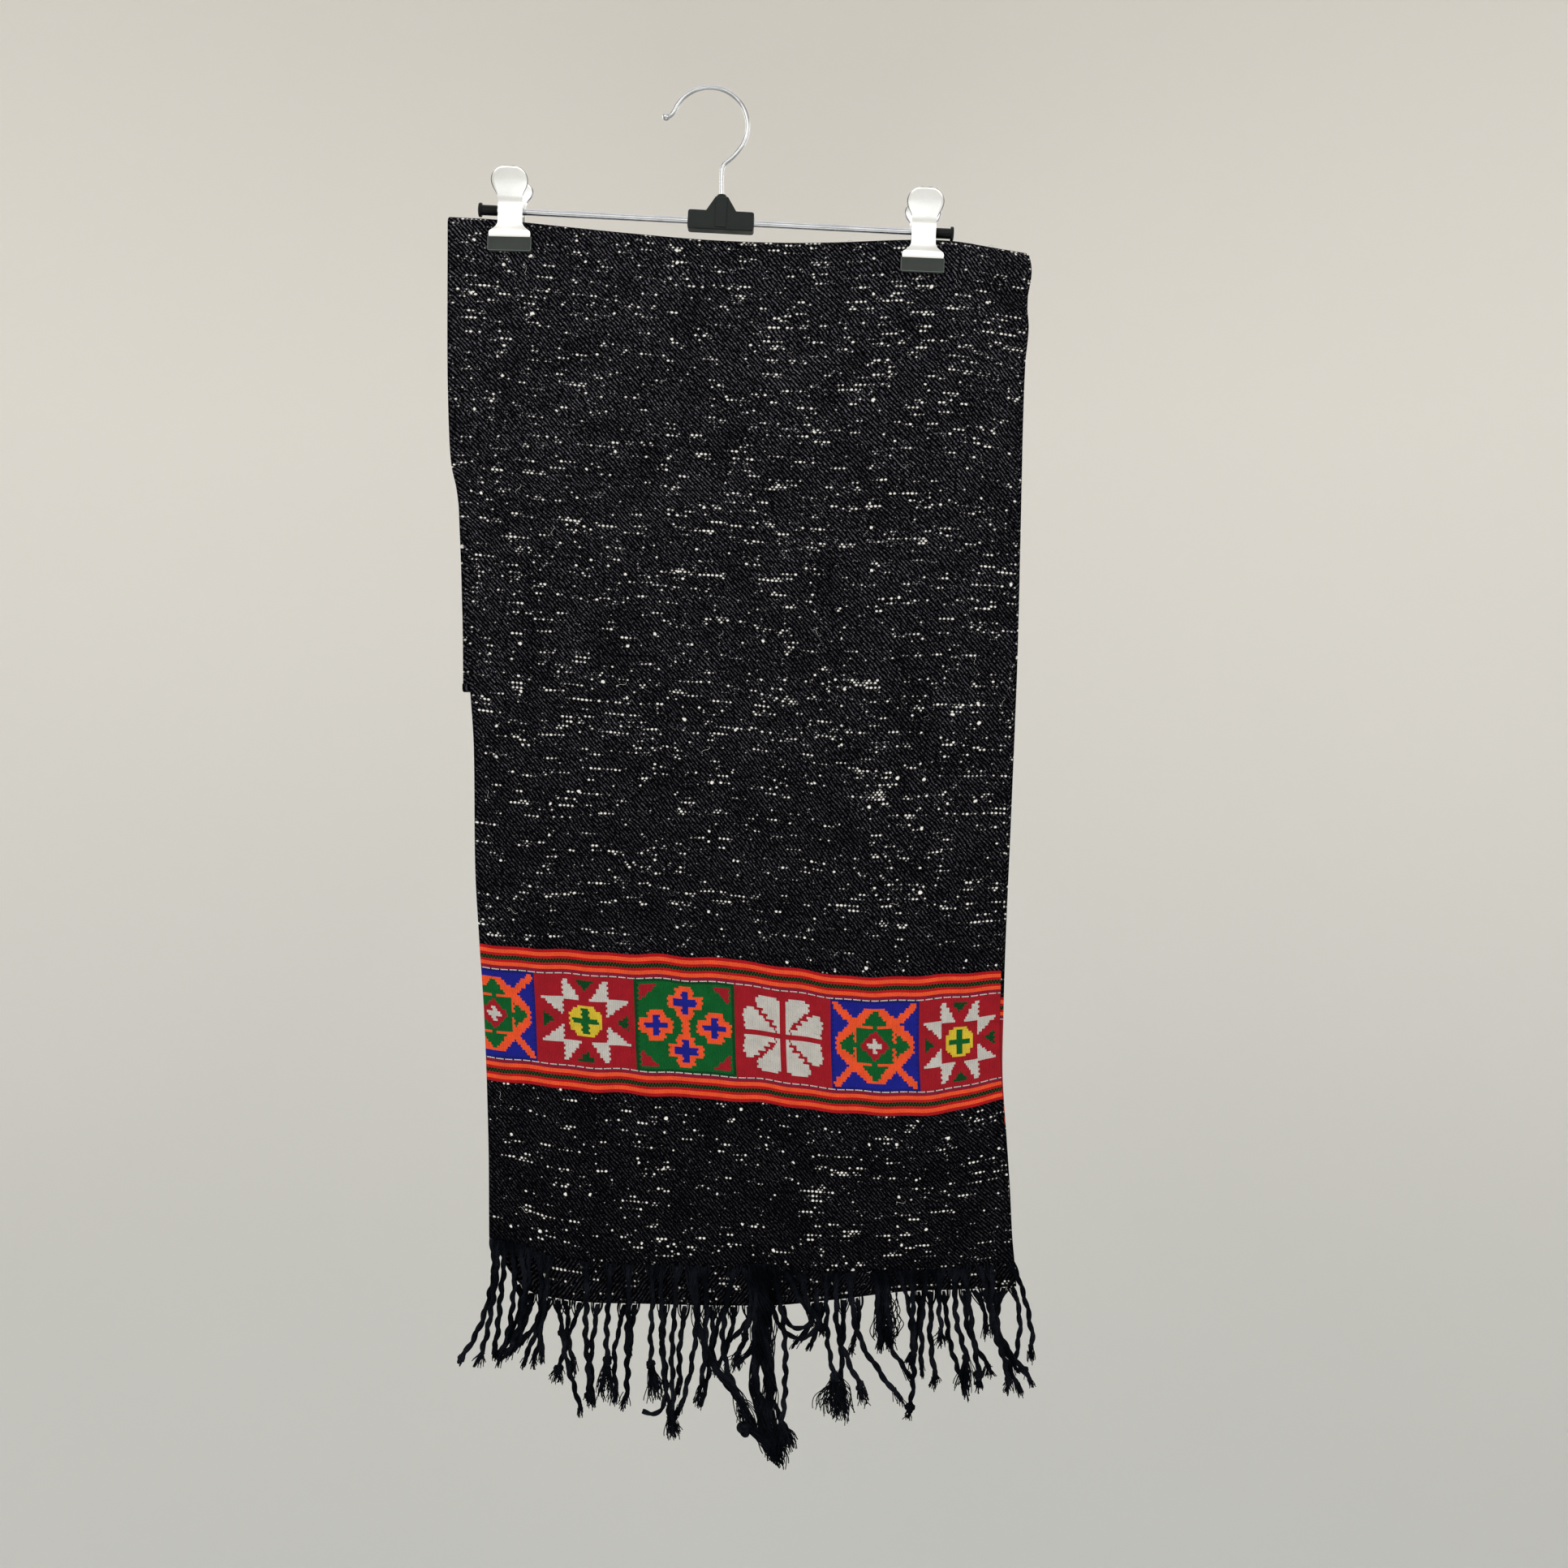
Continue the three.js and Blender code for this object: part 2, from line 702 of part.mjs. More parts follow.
function hook() {
  const onArc = (degrees) => {
    const angle = THREE.MathUtils.degToRad(degrees);
    const height = HOOK_CENTRE_Z + HOOK_RADIUS * Math.sin(angle);
    return new THREE.Vector3(HOOK_RADIUS * Math.cos(angle), 0, height);
  };
  const tip = new THREE.Vector3(-29.6, 0, -18.6);
  const points = [
    tip,
    new THREE.Vector3(-26.6, 0, -17.6),
    ...[157, 146, 130, 110, 90, 70, 50, 30, 10, -10, -28, -40].map(onArc),
    new THREE.Vector3(15.2, 0, -46.4),
    new THREE.Vector3(10.2, 0, -50.6),
    new THREE.Vector3(8.6, 0, -54),
    new THREE.Vector3(HOOK_STEM_X, 0, -58),
    new THREE.Vector3(HOOK_STEM_X, 0, -72),
    new THREE.Vector3(HOOK_STEM_X, 0, SOCKET_FLOOR_Z + 0.2),
  ];
  const wire = wireAlong(new THREE.CatmullRomCurve3(points), HOOK_WIRE, 44, 5);
  const ball = new THREE.SphereGeometry(HOOK_BALL, 12, 8).translate(tip.x, tip.y, tip.z);
  return union([wire, ball]);
}

// A clip's front lever: a stamped plate with an ear on each side that the rod runs through.
function lever(earPlace) {
  const rings = LEVER.map(([height, half, front]) => {
    const corner = (x, y) => new THREE.Vector3(x, y, height);
    const crown = -front - 0.35;
    return [
      corner(-half, -front),
      corner(-half * 0.5, crown),
      corner(half * 0.5, crown),
      corner(half, -front),
      corner(half, CLIP_PLATE - front),
      corner(half * 0.5, CLIP_PLATE + crown),
      corner(-half * 0.5, CLIP_PLATE + crown),
      corner(-half, CLIP_PLATE - front),
    ];
  });
  const plate = loft(rings, stripEnd(8));
  const outline = new THREE.Shape();
  outline.moveTo(-7.8, 6.5);
  outline.lineTo(-2, EAR_RADIUS + 0.3);
  outline.absarc(0, 0, EAR_RADIUS, Math.PI / 2, -Math.PI / 2, true);
  outline.lineTo(-7.8, -5);
  const ears = [-1, 1].map((side) => {
    const options = { depth: CLIP_PLATE, bevelEnabled: false, curveSegments: 5 };
    const ear = new THREE.ExtrudeGeometry(outline, options);
    ear.rotateX(Math.PI / 2).rotateZ(Math.PI / 2);
    return ear.translate(side * earPlace - CLIP_PLATE / 2, 0, 0);
  });
  const bore = bar(ROD_RADIUS + 0.45, alongRod(-12), alongRod(12), 16);
  return cut(union([plate, ...ears]), [bore]);
}

// The moulded pad of a jaw, with the slot that the lever's lip sits in.
function pad() {
  const { width, height, front, back } = CLIP_PAD;
  const top = JAW_LIP_Z - 0.1;
  const bottom = top - height;
  const w = width / 2;
  const ring = (y, inset) => [
    new THREE.Vector3(-w + inset + 1, y, top - inset * 0.4),
    new THREE.Vector3(w - inset - 1, y, top - inset * 0.4),
    new THREE.Vector3(w - inset, y, top - inset * 0.4 - 1),
    new THREE.Vector3(w - inset, y, bottom + inset + 1.2),
    new THREE.Vector3(w - inset - 1.2, y, bottom + inset),
    new THREE.Vector3(-w + inset + 1.2, y, bottom + inset),
    new THREE.Vector3(-w + inset, y, bottom + inset + 1.2),
    new THREE.Vector3(-w + inset, y, top - inset * 0.4 - 1),
  ];
  const body = loft([ring(-front, 0.7), ring(-front + 0.8, 0), ring(-back, 0)], fanEnd(8));
  const slot = new THREE.BoxGeometry(25.8, 1.9, 3.4).translate(0, -8.05, top - 1);
  return cut(body, [slot]);
}

// The spring wound round the rod between the ears, its legs pressing the levers apart.
function spring() {
  const { radius, wire, turns, halfWidth } = COIL;
  const coil = steps(turns * 12).map((part) => {
    const angle = part * turns * 2 * Math.PI + Math.PI;
    const x = lerp(-halfWidth, halfWidth, part);
    return new THREE.Vector3(x, radius * Math.cos(angle), radius * Math.sin(angle));
  });
  const legs = [
    new THREE.Vector3(-halfWidth, -5.6, 10.5),
    new THREE.Vector3(halfWidth, -5.6, -5),
  ];
  const path = new THREE.CatmullRomCurve3([legs[0], ...coil, legs[1]], false, 'centripetal');
  return wireAlong(path, wire, 40, 3);
}

function rodHeight(x) {
  return BLOCK_AT.z - (x - BLOCK_AT.x) * Math.tan(ROD_TILT);
}

function clipPieces({ side, x, tilt }) {
  const place = (geometry) => geometry
    .rotateY(THREE.MathUtils.degToRad(tilt))
    .translate(x, 0, rodHeight(x));
  const behind = (geometry) => geometry.rotateZ(Math.PI);
  return [
    [`${side}_clip_front_lever`, place(lever(CLIP_EAR)), STEEL],
    [`${side}_clip_back_lever`, place(behind(lever(CLIP_EAR - 1.4))), STEEL],
    [`${side}_clip_spring`, place(spring()), SPRING_STEEL],
    [`${side}_clip_front_pad`, place(pad()), PAD_BLACK],
    [`${side}_clip_back_pad`, place(behind(pad())), PAD_BLACK],
  ];
}

const WOOL = { color: 0x1c1d21, roughness: 0.95, metalness: 0 };
const BORDER = { color: 0x9e3426, roughness: 0.9, metalness: 0 };
const STEEL = { color: 0xd9dcdc, roughness: 0.25, metalness: 1 };
const SPRING_STEEL = { color: 0x9a9c9e, roughness: 0.35, metalness: 1 };
const CHROME = { color: 0xe6e8ea, roughness: 0.08, metalness: 1 };
const PAD_BLACK = { color: 0x3c3f3e, roughness: 0.7, metalness: 0 };
const CAP_BLACK = { color: 0x1a1a1b, roughness: 0.4, metalness: 0 };

const PIECES = [
  ['front_drop', frontDrop(), WOOL],
  ['border_band', borderBand(), BORDER],
  ['end_cloth', endCloth(), WOOL],
  ['back_run', backRun(), WOOL],
  ['inner_folds', innerFolds(), WOOL],
  ['front_fringe', fringe(FRONT_STRANDS, 0, -1), WOOL],
  ['under_fringe', fringe(UNDER_STRANDS, 1, 1), WOOL],
  ['hanger_rod', rod(), CHROME],
  ['hanger_hook', hook(), CHROME],
  ['hanger_block', centreBlock(), CAP_BLACK],
  ['left_end_cap', endCap(ROD_LEFT, 1), CAP_BLACK],
  ['right_end_cap', endCap(ROD_RIGHT, -1), CAP_BLACK],
  ...CLIPS.flatMap(clipPieces),
];

const stole = new THREE.Group();
stole.name = 'stole_on_clip_hanger';
PIECES.forEach(([name, geometry, look]) => {
  const mesh = new THREE.Mesh(geometry, new THREE.MeshStandardMaterial(look));
  mesh.name = name;
  stole.add(mesh);
});

export default stole;
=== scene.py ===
# %% [markdown]
# # A fringed wool stole on a clip hanger
# The stole is one long piece of black wool twill, flecked with white, with a woven border
# and twisted fringe at its end. It is folded in half along its length, folded to and fro
# behind, and held by two steel clips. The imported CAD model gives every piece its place. This
# lesson dresses it: thin cloth shells, yarn, plated steel and moulded plastic.
# The CAD box is kept now and written out at the end, beside the box of the finished look.

# %% Load the frame
import math

import bmesh
import bpy
import numpy as np
from mathutils import Matrix, Vector


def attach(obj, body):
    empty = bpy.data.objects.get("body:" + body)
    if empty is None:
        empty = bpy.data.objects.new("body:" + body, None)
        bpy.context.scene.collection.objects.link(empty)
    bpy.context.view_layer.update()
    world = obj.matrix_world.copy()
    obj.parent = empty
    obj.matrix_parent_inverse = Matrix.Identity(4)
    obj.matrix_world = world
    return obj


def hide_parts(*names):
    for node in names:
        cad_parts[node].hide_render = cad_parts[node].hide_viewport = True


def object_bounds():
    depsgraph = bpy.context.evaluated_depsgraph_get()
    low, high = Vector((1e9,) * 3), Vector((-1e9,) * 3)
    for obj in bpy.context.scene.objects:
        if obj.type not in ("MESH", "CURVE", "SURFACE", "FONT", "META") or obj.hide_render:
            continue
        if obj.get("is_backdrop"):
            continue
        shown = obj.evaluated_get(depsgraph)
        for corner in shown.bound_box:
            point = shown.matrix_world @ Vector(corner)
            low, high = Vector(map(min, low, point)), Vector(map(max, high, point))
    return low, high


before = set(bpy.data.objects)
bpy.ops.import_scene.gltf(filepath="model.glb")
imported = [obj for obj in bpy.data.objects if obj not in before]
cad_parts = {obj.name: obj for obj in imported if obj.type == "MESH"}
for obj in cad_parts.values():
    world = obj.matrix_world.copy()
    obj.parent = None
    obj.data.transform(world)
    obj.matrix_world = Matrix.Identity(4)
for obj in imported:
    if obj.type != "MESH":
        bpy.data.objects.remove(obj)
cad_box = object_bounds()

MM = 0.001
print("CAD box", [[round(c, 4) for c in corner] for corner in cad_box])

# %% [markdown]
# ## Small tools
# Colours are written as the hex codes that a dyer's card or a paint chart would give, and
# one function turns them into the linear light values that a shader needs. Another
# adds a node to a tree, with its settings and its links in one line, for materials and for
# Geometry Nodes alike. Others make a mesh object from lists of points and faces, and add a
# modifier to it.

# %% Colours, nodes and meshes
def dye(hex_code):
    """A colour from its sRGB hex code, as linear values."""
    parts = [int(hex_code[i:i + 2], 16) / 255 for i in (1, 3, 5)]
    linear = [((c + 0.055) / 1.055) ** 2.4 if c > 0.04045 else c / 12.92 for c in parts]
    return (*linear, 1.0)


def feed(tree, node, inputs):
    """Sets a node's inputs, by name or number, to values, hex codes or nodes' outputs."""
    for socket, value in inputs.items():
        if isinstance(value, str) and value.startswith("#"):
            value = dye(value)
        if isinstance(value, bpy.types.Node):
            value = next(output for output in value.outputs if output.enabled)
        if isinstance(value, bpy.types.NodeSocket):
            tree.links.new(value, node.inputs[socket])
        else:
            node.inputs[socket].default_value = value


def add(tree, kind, *inputs, **settings):
    """Adds a node of a kind such as "Math ADD". Its inputs stand in order, or in a dict."""
    kind, _, mode = kind.partition(" ")
    node = tree.nodes.new(kind if "Node" in kind else "ShaderNode" + kind)
    if mode:
        settings["data_type" if kind == "Mix" else "operation"] = mode
    for name, value in settings.items():
        setattr(node, name, value)
    named = len(inputs) == 1 and isinstance(inputs[0], dict)
    feed(tree, node, inputs[0] if named else dict(enumerate(inputs)))
    return node


def new_material(name):
    """An empty material: its node tree and its Principled shader."""
    material = bpy.data.materials.new(name)
    material.use_nodes = True
    tree = material.node_tree
    return material, tree, tree.nodes["Principled BSDF"]


def new_object(name, data):
    """An object in the scene, from its mesh, its light or its camera."""
    item = bpy.data.objects.new(name, data)
    bpy.context.collection.objects.link(item)
    return item


def new_piece(name, points, faces, material):
    """A smooth mesh object from points in millimetres and faces, with one material."""
    mesh = bpy.data.meshes.new(name)
    mesh.from_pydata([tuple(c * MM for c in point) for point in points], [], faces)
    mesh.validate()
    mesh.materials.append(material)
    mesh.shade_smooth()
    return new_object(name, mesh)


def modify(piece, name, kind, **settings):
    """Adds a modifier to a piece, with its settings."""
    modifier = piece.modifiers.new(name, kind)
    for setting, value in settings.items():
        setattr(modifier, setting, value)
    return modifier


# %% [markdown]
# ## Camera
# The camera stands straight in front, level with the middle of the cloth, a little over
# 1.3 m away, so the rod and the hook show almost without perspective.

# %% Camera
camera_data = bpy.data.cameras.new("camera")
camera_data.sensor_width = 36
camera_data.lens = 45.06
camera = new_object("camera", camera_data)
camera.location = (0.0506, -1.3355, -0.4725)
camera.rotation_euler = (math.pi / 2, 0, 0)
bpy.context.scene.camera = camera
bpy.context.scene.view_settings.view_transform = "Standard"
print("camera", tuple(camera.location))

# %% [markdown]
# ## Studio
# A pale floor that rises all round into a wall, in one smooth dish, has no corner or
# horizon from any side. It is a profile spun round the vertical axis. Plaster and paper
# aren't perfectly even, so its colour drifts a little. It is also painted darker towards
# the floor: painted shade.

# %% Floor and wall
FLOOR_Z = -3000
DISH_RADIUS = 3400
COVE_RADIUS = 1500
WALL_TOP = 3400


def studio_dish(material):
    turn = [i / 16 * math.pi / 2 for i in range(17)]
    middle = DISH_RADIUS - COVE_RADIUS
    cove = [
        (middle + COVE_RADIUS * math.sin(a), FLOOR_Z + COVE_RADIUS * (1 - math.cos(a)))
        for a in turn
    ]
    profile = [(300, FLOOR_Z), (middle * 0.6, FLOOR_Z), *cove, (DISH_RADIUS, WALL_TOP)]
    sides = 96
    points = [(0, 0, FLOOR_Z)]
    for radius, z in profile:
        for i in range(sides):
            angle = 2 * math.pi * i / sides
            points.append((radius * math.cos(angle), radius * math.sin(angle), z))
    faces = [(0, 1 + i, 1 + (i + 1) % sides) for i in range(sides)]
    for ring in range(len(profile) - 1):
        for i in range(sides):
            a = 1 + ring * sides + i
            b = 1 + ring * sides + (i + 1) % sides
            faces.append((a, a + sides, b + sides, b))
    return new_piece("studio_dish", points, faces, material)


paper, tree, shader = new_material("pale backdrop paper")
object_place = add(tree, "TexCoord").outputs["Object"]
drift = add(tree, "TexNoise", {"Vector": object_place, "Scale": 0.7})
paper_height = add(tree, "SeparateXYZ", object_place).outputs[2]
# Painted shade: the paper is painted darker towards the floor.
paper_painted_shade = add(tree, "MapRange", paper_height, -2.6, 0.4, -0.1, 0.9)
paper_drift_and_painted_shade = add(tree, "Math MULTIPLY_ADD", drift, 0.2, paper_painted_shade)
paper_tone = add(tree, "Mix RGBA", {"Factor": paper_drift_and_painted_shade, "A": "#D2D4D3", "B": "#F6F3EE"})
feed(tree, shader, {"Base Color": paper_tone, "Roughness": 0.95})
studio_dish(paper)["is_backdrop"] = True
print("studio dish", 2 * DISH_RADIUS, "mm across")

# %% [markdown]
# ## Lights
# Large soft sources keep the shadows faint. The main one stands at the left in front and
# above. A second fills from the right, and two behind serve the views of the back. The thumb
# plates of the clips lean forward and mirror what is low in front, so a low one stands there too.
# None of the sources shows itself to the camera.

# %% Lights
OBJECT_MIDDLE = Vector((0.02, 0, -0.45))
LIGHTS = [
    # name, place in metres, size in metres, watts, tone
    ("key_softbox", (-1.5, -2.0, 0.9), 1.7, 22, "#FFFDF8"),
    ("fill_softbox", (1.9, -1.9, 0.1), 1.6, 14, "#FFFDFA"),
    ("front_panel", (0.1, -2.5, 0.55), 1.9, 13, "#FFFFFF"),
    ("overhead_panel", (0, 0.2, 1.6), 2.2, 14, "#FFFFFF"),
    ("low_softbox", (0, -1.3, -1.9), 1.7, 8, "#FFFFFF"),
    ("back_left_softbox", (-1.7, 1.9, 0.5), 1.5, 20, "#FFFFFF"),
    ("back_right_softbox", (1.8, 1.8, 0.3), 1.5, 20, "#FFFFFF"),
]
for name, place, size, watts, tone in LIGHTS:
    light_data = bpy.data.lights.new(name, "AREA")
    light_data.shape = "SQUARE"
    light_data.size = size
    light_data.energy = watts
    light_data.color = dye(tone)[:3]
    light = new_object(name, light_data)
    light.location = place
    towards = OBJECT_MIDDLE - Vector(place)
    light.rotation_euler = towards.to_track_quat("-Z", "Y").to_euler()
    light.visible_camera = False

world = bpy.data.worlds.new("studio air")
bpy.context.scene.world = world
world.use_nodes = True
world.node_tree.nodes["Background"].inputs["Color"].default_value = dye("#F4F2EE")
world.node_tree.nodes["Background"].inputs["Strength"].default_value = 0.5
print(len(LIGHTS), "lights")

# %% [markdown]
# ## How the cloth hangs
# The cloth is a hairpin: a front layer and an under layer, joined by the lengthwise fold at
# the left. From the hem it runs up the front, over the top, down the back and in at the
# bottom fold. A few short tables hold its outline, measured at the real size, and one smooth
# line goes through the rows of each. They are the same tables that the CAD model is made
# from, so the cloth here lies in the space of its solids.

# %% Outline tables of the hanging cloth, in millimetres
# Left fold and right selvedge: height, distance across
LEFT_FOLD = [
    (-850, -149), (-779, -149.6), (-711, -150.2), (-629, -152.9), (-579, -156.2),
    (-530, -159), (-447, -160), (-409, -162.3), (-359, -165), (-311, -166.7),
    (-289, -169.4), (-271, -171.8), (-257, -174.9), (-233, -176.6), (-183, -177.7),
    (-80, -177.7),
]
RIGHT_SELVEDGE = [
    (-850, 207), (-796, 206.3), (-761, 203.5), (-728, 201.9), (-695, 199.7),
    (-651, 196.9), (-612, 197.5), (-563, 199), (-475, 203), (-381, 206.8),
    (-271, 209.6), (-222, 210.7), (-183, 212.3), (-160, 214.6), (-143, 213.6),
    (-123, 216.7), (-108, 214.5),
]
# Levels across the front layer: distance across, height
TOP_FOLD = [
    (-178, -86.7), (-144, -88.6), (-97, -93.5), (-50, -98.2), (0, -102.4), (47, -104.2),
    (86, -104), (134, -102.3), (165, -103.1), (194, -107.8), (215, -111.4),
]
BORDER_TOP = [
    (-157, -580.5), (-96, -585.2), (-30, -588.5), (20, -591.8), (61, -598.4),
    (100, -602.6), (135, -603.4), (168, -600.4), (198, -599.6),
]
BORDER_FOOT = [
    (-152, -672.4), (-120, -676.5), (-63, -682), (3, -686.4), (61, -691.9),
    (94, -695.8), (127, -697.4), (168, -694.1), (200, -685.6),
]
HEM = [
    (-150, -779.4), (-129, -783.2), (-109, -790.4), (-82, -795.3), (-54, -797),
    (9, -799.7), (61, -802.5), (135, -800.8), (167, -799.7), (206, -795.9),
]
# How far the under layer hangs below the front one: distance from the fold, drop
UNDER_DROP_AT_BORDER = [(0, 0), (40, 8), (90, 15), (200, 18), (360, 18)]
UNDER_DROP_AT_HEM = [
    (0, 0), (4, 5), (14, 21), (25, 30), (45, 29), (95, 28), (180, 26), (232, 20),
    (285, 15.5), (356, 17.6),
]


def line_through(table):
    """A smooth line through a table's rows, flat beyond its ends, for numpy arrays."""
    at, value = np.array(table, float).T
    last = len(at) - 1
    before = np.maximum(np.arange(last + 1) - 1, 0)
    after = np.minimum(np.arange(last + 1) + 1, last)
    slope = (value[after] - value[before]) / (at[after] - at[before])

    def line(x):
        i = np.clip(np.searchsorted(at, x, side="right") - 1, 0, last - 1)
        step = at[i + 1] - at[i]
        t = np.clip((x - at[i]) / step, 0, 1)
        ease = t * t * (3 - 2 * t)
        rise = t * (1 - t) ** 2 * slope[i] * step
        fall = t * t * (1 - t) * slope[i + 1] * step
        return value[i] + (value[i + 1] - value[i]) * ease + rise - fall

    return line


left_fold = line_through(LEFT_FOLD)
right_selvedge = line_through(RIGHT_SELVEDGE)
top_fold = line_through(TOP_FOLD)
border_top = line_through(BORDER_TOP)
border_foot = line_through(BORDER_FOOT)
hem = line_through(HEM)
drop_at_border = line_through(UNDER_DROP_AT_BORDER)
drop_at_hem = line_through(UNDER_DROP_AT_HEM)
print("folded width at the hem", round(float(right_selvedge(-796) - left_fold(-779))), "mm")

# %% [markdown]
# ## Where a point of the cloth lies
# Each point is known by its share of the way from the fold to the selvedge and by its
# layer. These helpers give it a depth and a height. The free end sways in soft folds, and
# a hanging cloth is never a board: shop creases, a slack edge and wide shallow waves are
# placed from a table and move both layers together, so they never cut through
# each other.

# %% Section of the hairpin
WALL = 1.1
STACK_HALF = 5.55
TURN = 0.725
TURN_DEPTH = 4.275
UNDER_REACH = 2
HALF_CUT = 366
BOTTOM_FOLD_Z = -410
BOTTOM_FOLD_AXIS = 2.75
TOP_EDGES = (float(left_fold(-95)), float(right_selvedge(-112)))
BACK_EDGES = (-168.6, 199)
back_bottom = BOTTOM_FOLD_Z + STACK_HALF - BOTTOM_FOLD_AXIS


def hairpin(front, turn, under):
    """Columns round the fold, each with its share of the way across and its angle."""
    columns = [(1 - i / front, 0.0) for i in range(front)]
    columns += [(0.0, math.pi * i / turn) for i in range(turn + 1)]
    return columns + [((i + 1) / under, math.pi) for i in range(under)]


COLUMNS = hairpin(96, 8, 60)


def eased(x, low, high):
    t = np.clip((x - low) / (high - low), 0, 1)
    return t * t * (3 - 2 * t)


def section(columns, left, right):
    """Across, depth and layer of each column of the hairpin between two edges."""
    share, turn = np.array(columns).T
    layer = (1 - np.cos(turn)) / 2
    fold = left + TURN + WALL / 2
    across = fold + (right + layer * UNDER_REACH - fold) * share - TURN * np.sin(turn)
    depth = TURN_DEPTH + TURN * np.cos(turn)
    return across, depth, layer


def cut_across(columns):
    """Where each column lies on the flat cut, from the lengthwise fold."""
    share, turn = np.array(columns).T
    side = np.where(share > 0, np.where(turn < 1, 1, -1), 0)
    return side * share * HALF_CUT + TURN * np.cos(turn) * (share == 0)


# Soft creases: middle across and height, half length, half width, slope, depth
CREASES = [
    (95, -271, 160, 5, -0.015, 0.9),
    (-60, -268, 110, 7, 0.02, 0.5),
    (60, -229, 130, 12, 0.01, 0.6),
    (175, -150, 60, 15, 0.05, 1.0),
    (-120, -262, 45, 10, 0.35, 0.9),
    (170, -321, 70, 8, 0.04, 0.7),
    (-95, -175, 80, 26, -0.28, -0.8),
    (110, -190, 90, 30, 0.25, -0.7),
    (10, -360, 170, 30, -0.04, -0.9),
    (-90, -455, 90, 34, 0.12, 0.9),
    (120, -470, 95, 28, -0.10, 1.1),
    (20, -530, 120, 24, 0.05, -1.0),
    (-110, -720, 60, 20, 0.30, 0.8),
    (90, -735, 80, 22, -0.18, 1.0),
]


def crease_depth(x, z):
    """How far the soft creases push the front back at a point."""
    depth = np.zeros(np.broadcast(x, z).shape)
    for middle_x, middle_z, half_length, half_width, slope, deep in CREASES:
        along = (x - middle_x) / half_length
        wander = 0.22 * half_width * np.sin(along * 4.1 + middle_z)
        off = (z - middle_z - slope * (x - middle_x) + wander) / half_width
        depth += deep * np.exp(-off * off) * np.clip(1 - along * along, 0, 1) ** 1.5
    return depth


def sway(x, z):
    """Soft upright folds of the free end below the stack."""
    free = eased(-z, 400, 800)
    return free * (1.7 * np.sin((x + 40) / 34) + 0.8 * np.sin((x - 20) / 17))


def drape(x, z):
    """Sway and creases together. Over the stack behind, the cloth stands a little proud."""
    loose = eased(-z, 118, 200)
    proud = 1 - eased(-z, 395, 430)
    return loose * (crease_depth(x, z) - proud) + sway(x, z)


print(len(COLUMNS), "columns,", len(CREASES), "creases")

# %% [markdown]
# ## The wool twill
# A twill's threads cross two over and two under, a step aside in each row, which draws fine
# slanting lines 2.8 mm apart across and 3.2 mm along. The wool is near black with a dusty
# grey nap. White flecks are slubs in the weft: they show only where that yarn comes to the
# front, so they stand in rows, one to each slanting line, in short runs. The pattern reads
# a flat-cut map, in which every point carries its place on the cloth before it was folded,
# so the rows follow the drape and meet at the seams. The lines' relief is bump.

# %% Material: black wool twill with white slubs
TWILL_ACROSS = 2.83
TWILL_ALONG = 3.2
SLUB_ROW = 1.6


def place_on_cut(tree):
    """A point's place on the flat cut in millimetres: both numbers, then each alone."""
    place = add(tree, "UVMap", uv_map="cut")
    threads = add(tree, "VectorMath MULTIPLY", place, (1000, 1000, 1000))
    apart = add(tree, "SeparateXYZ", threads)
    return threads, apart.outputs[0], apart.outputs[1]


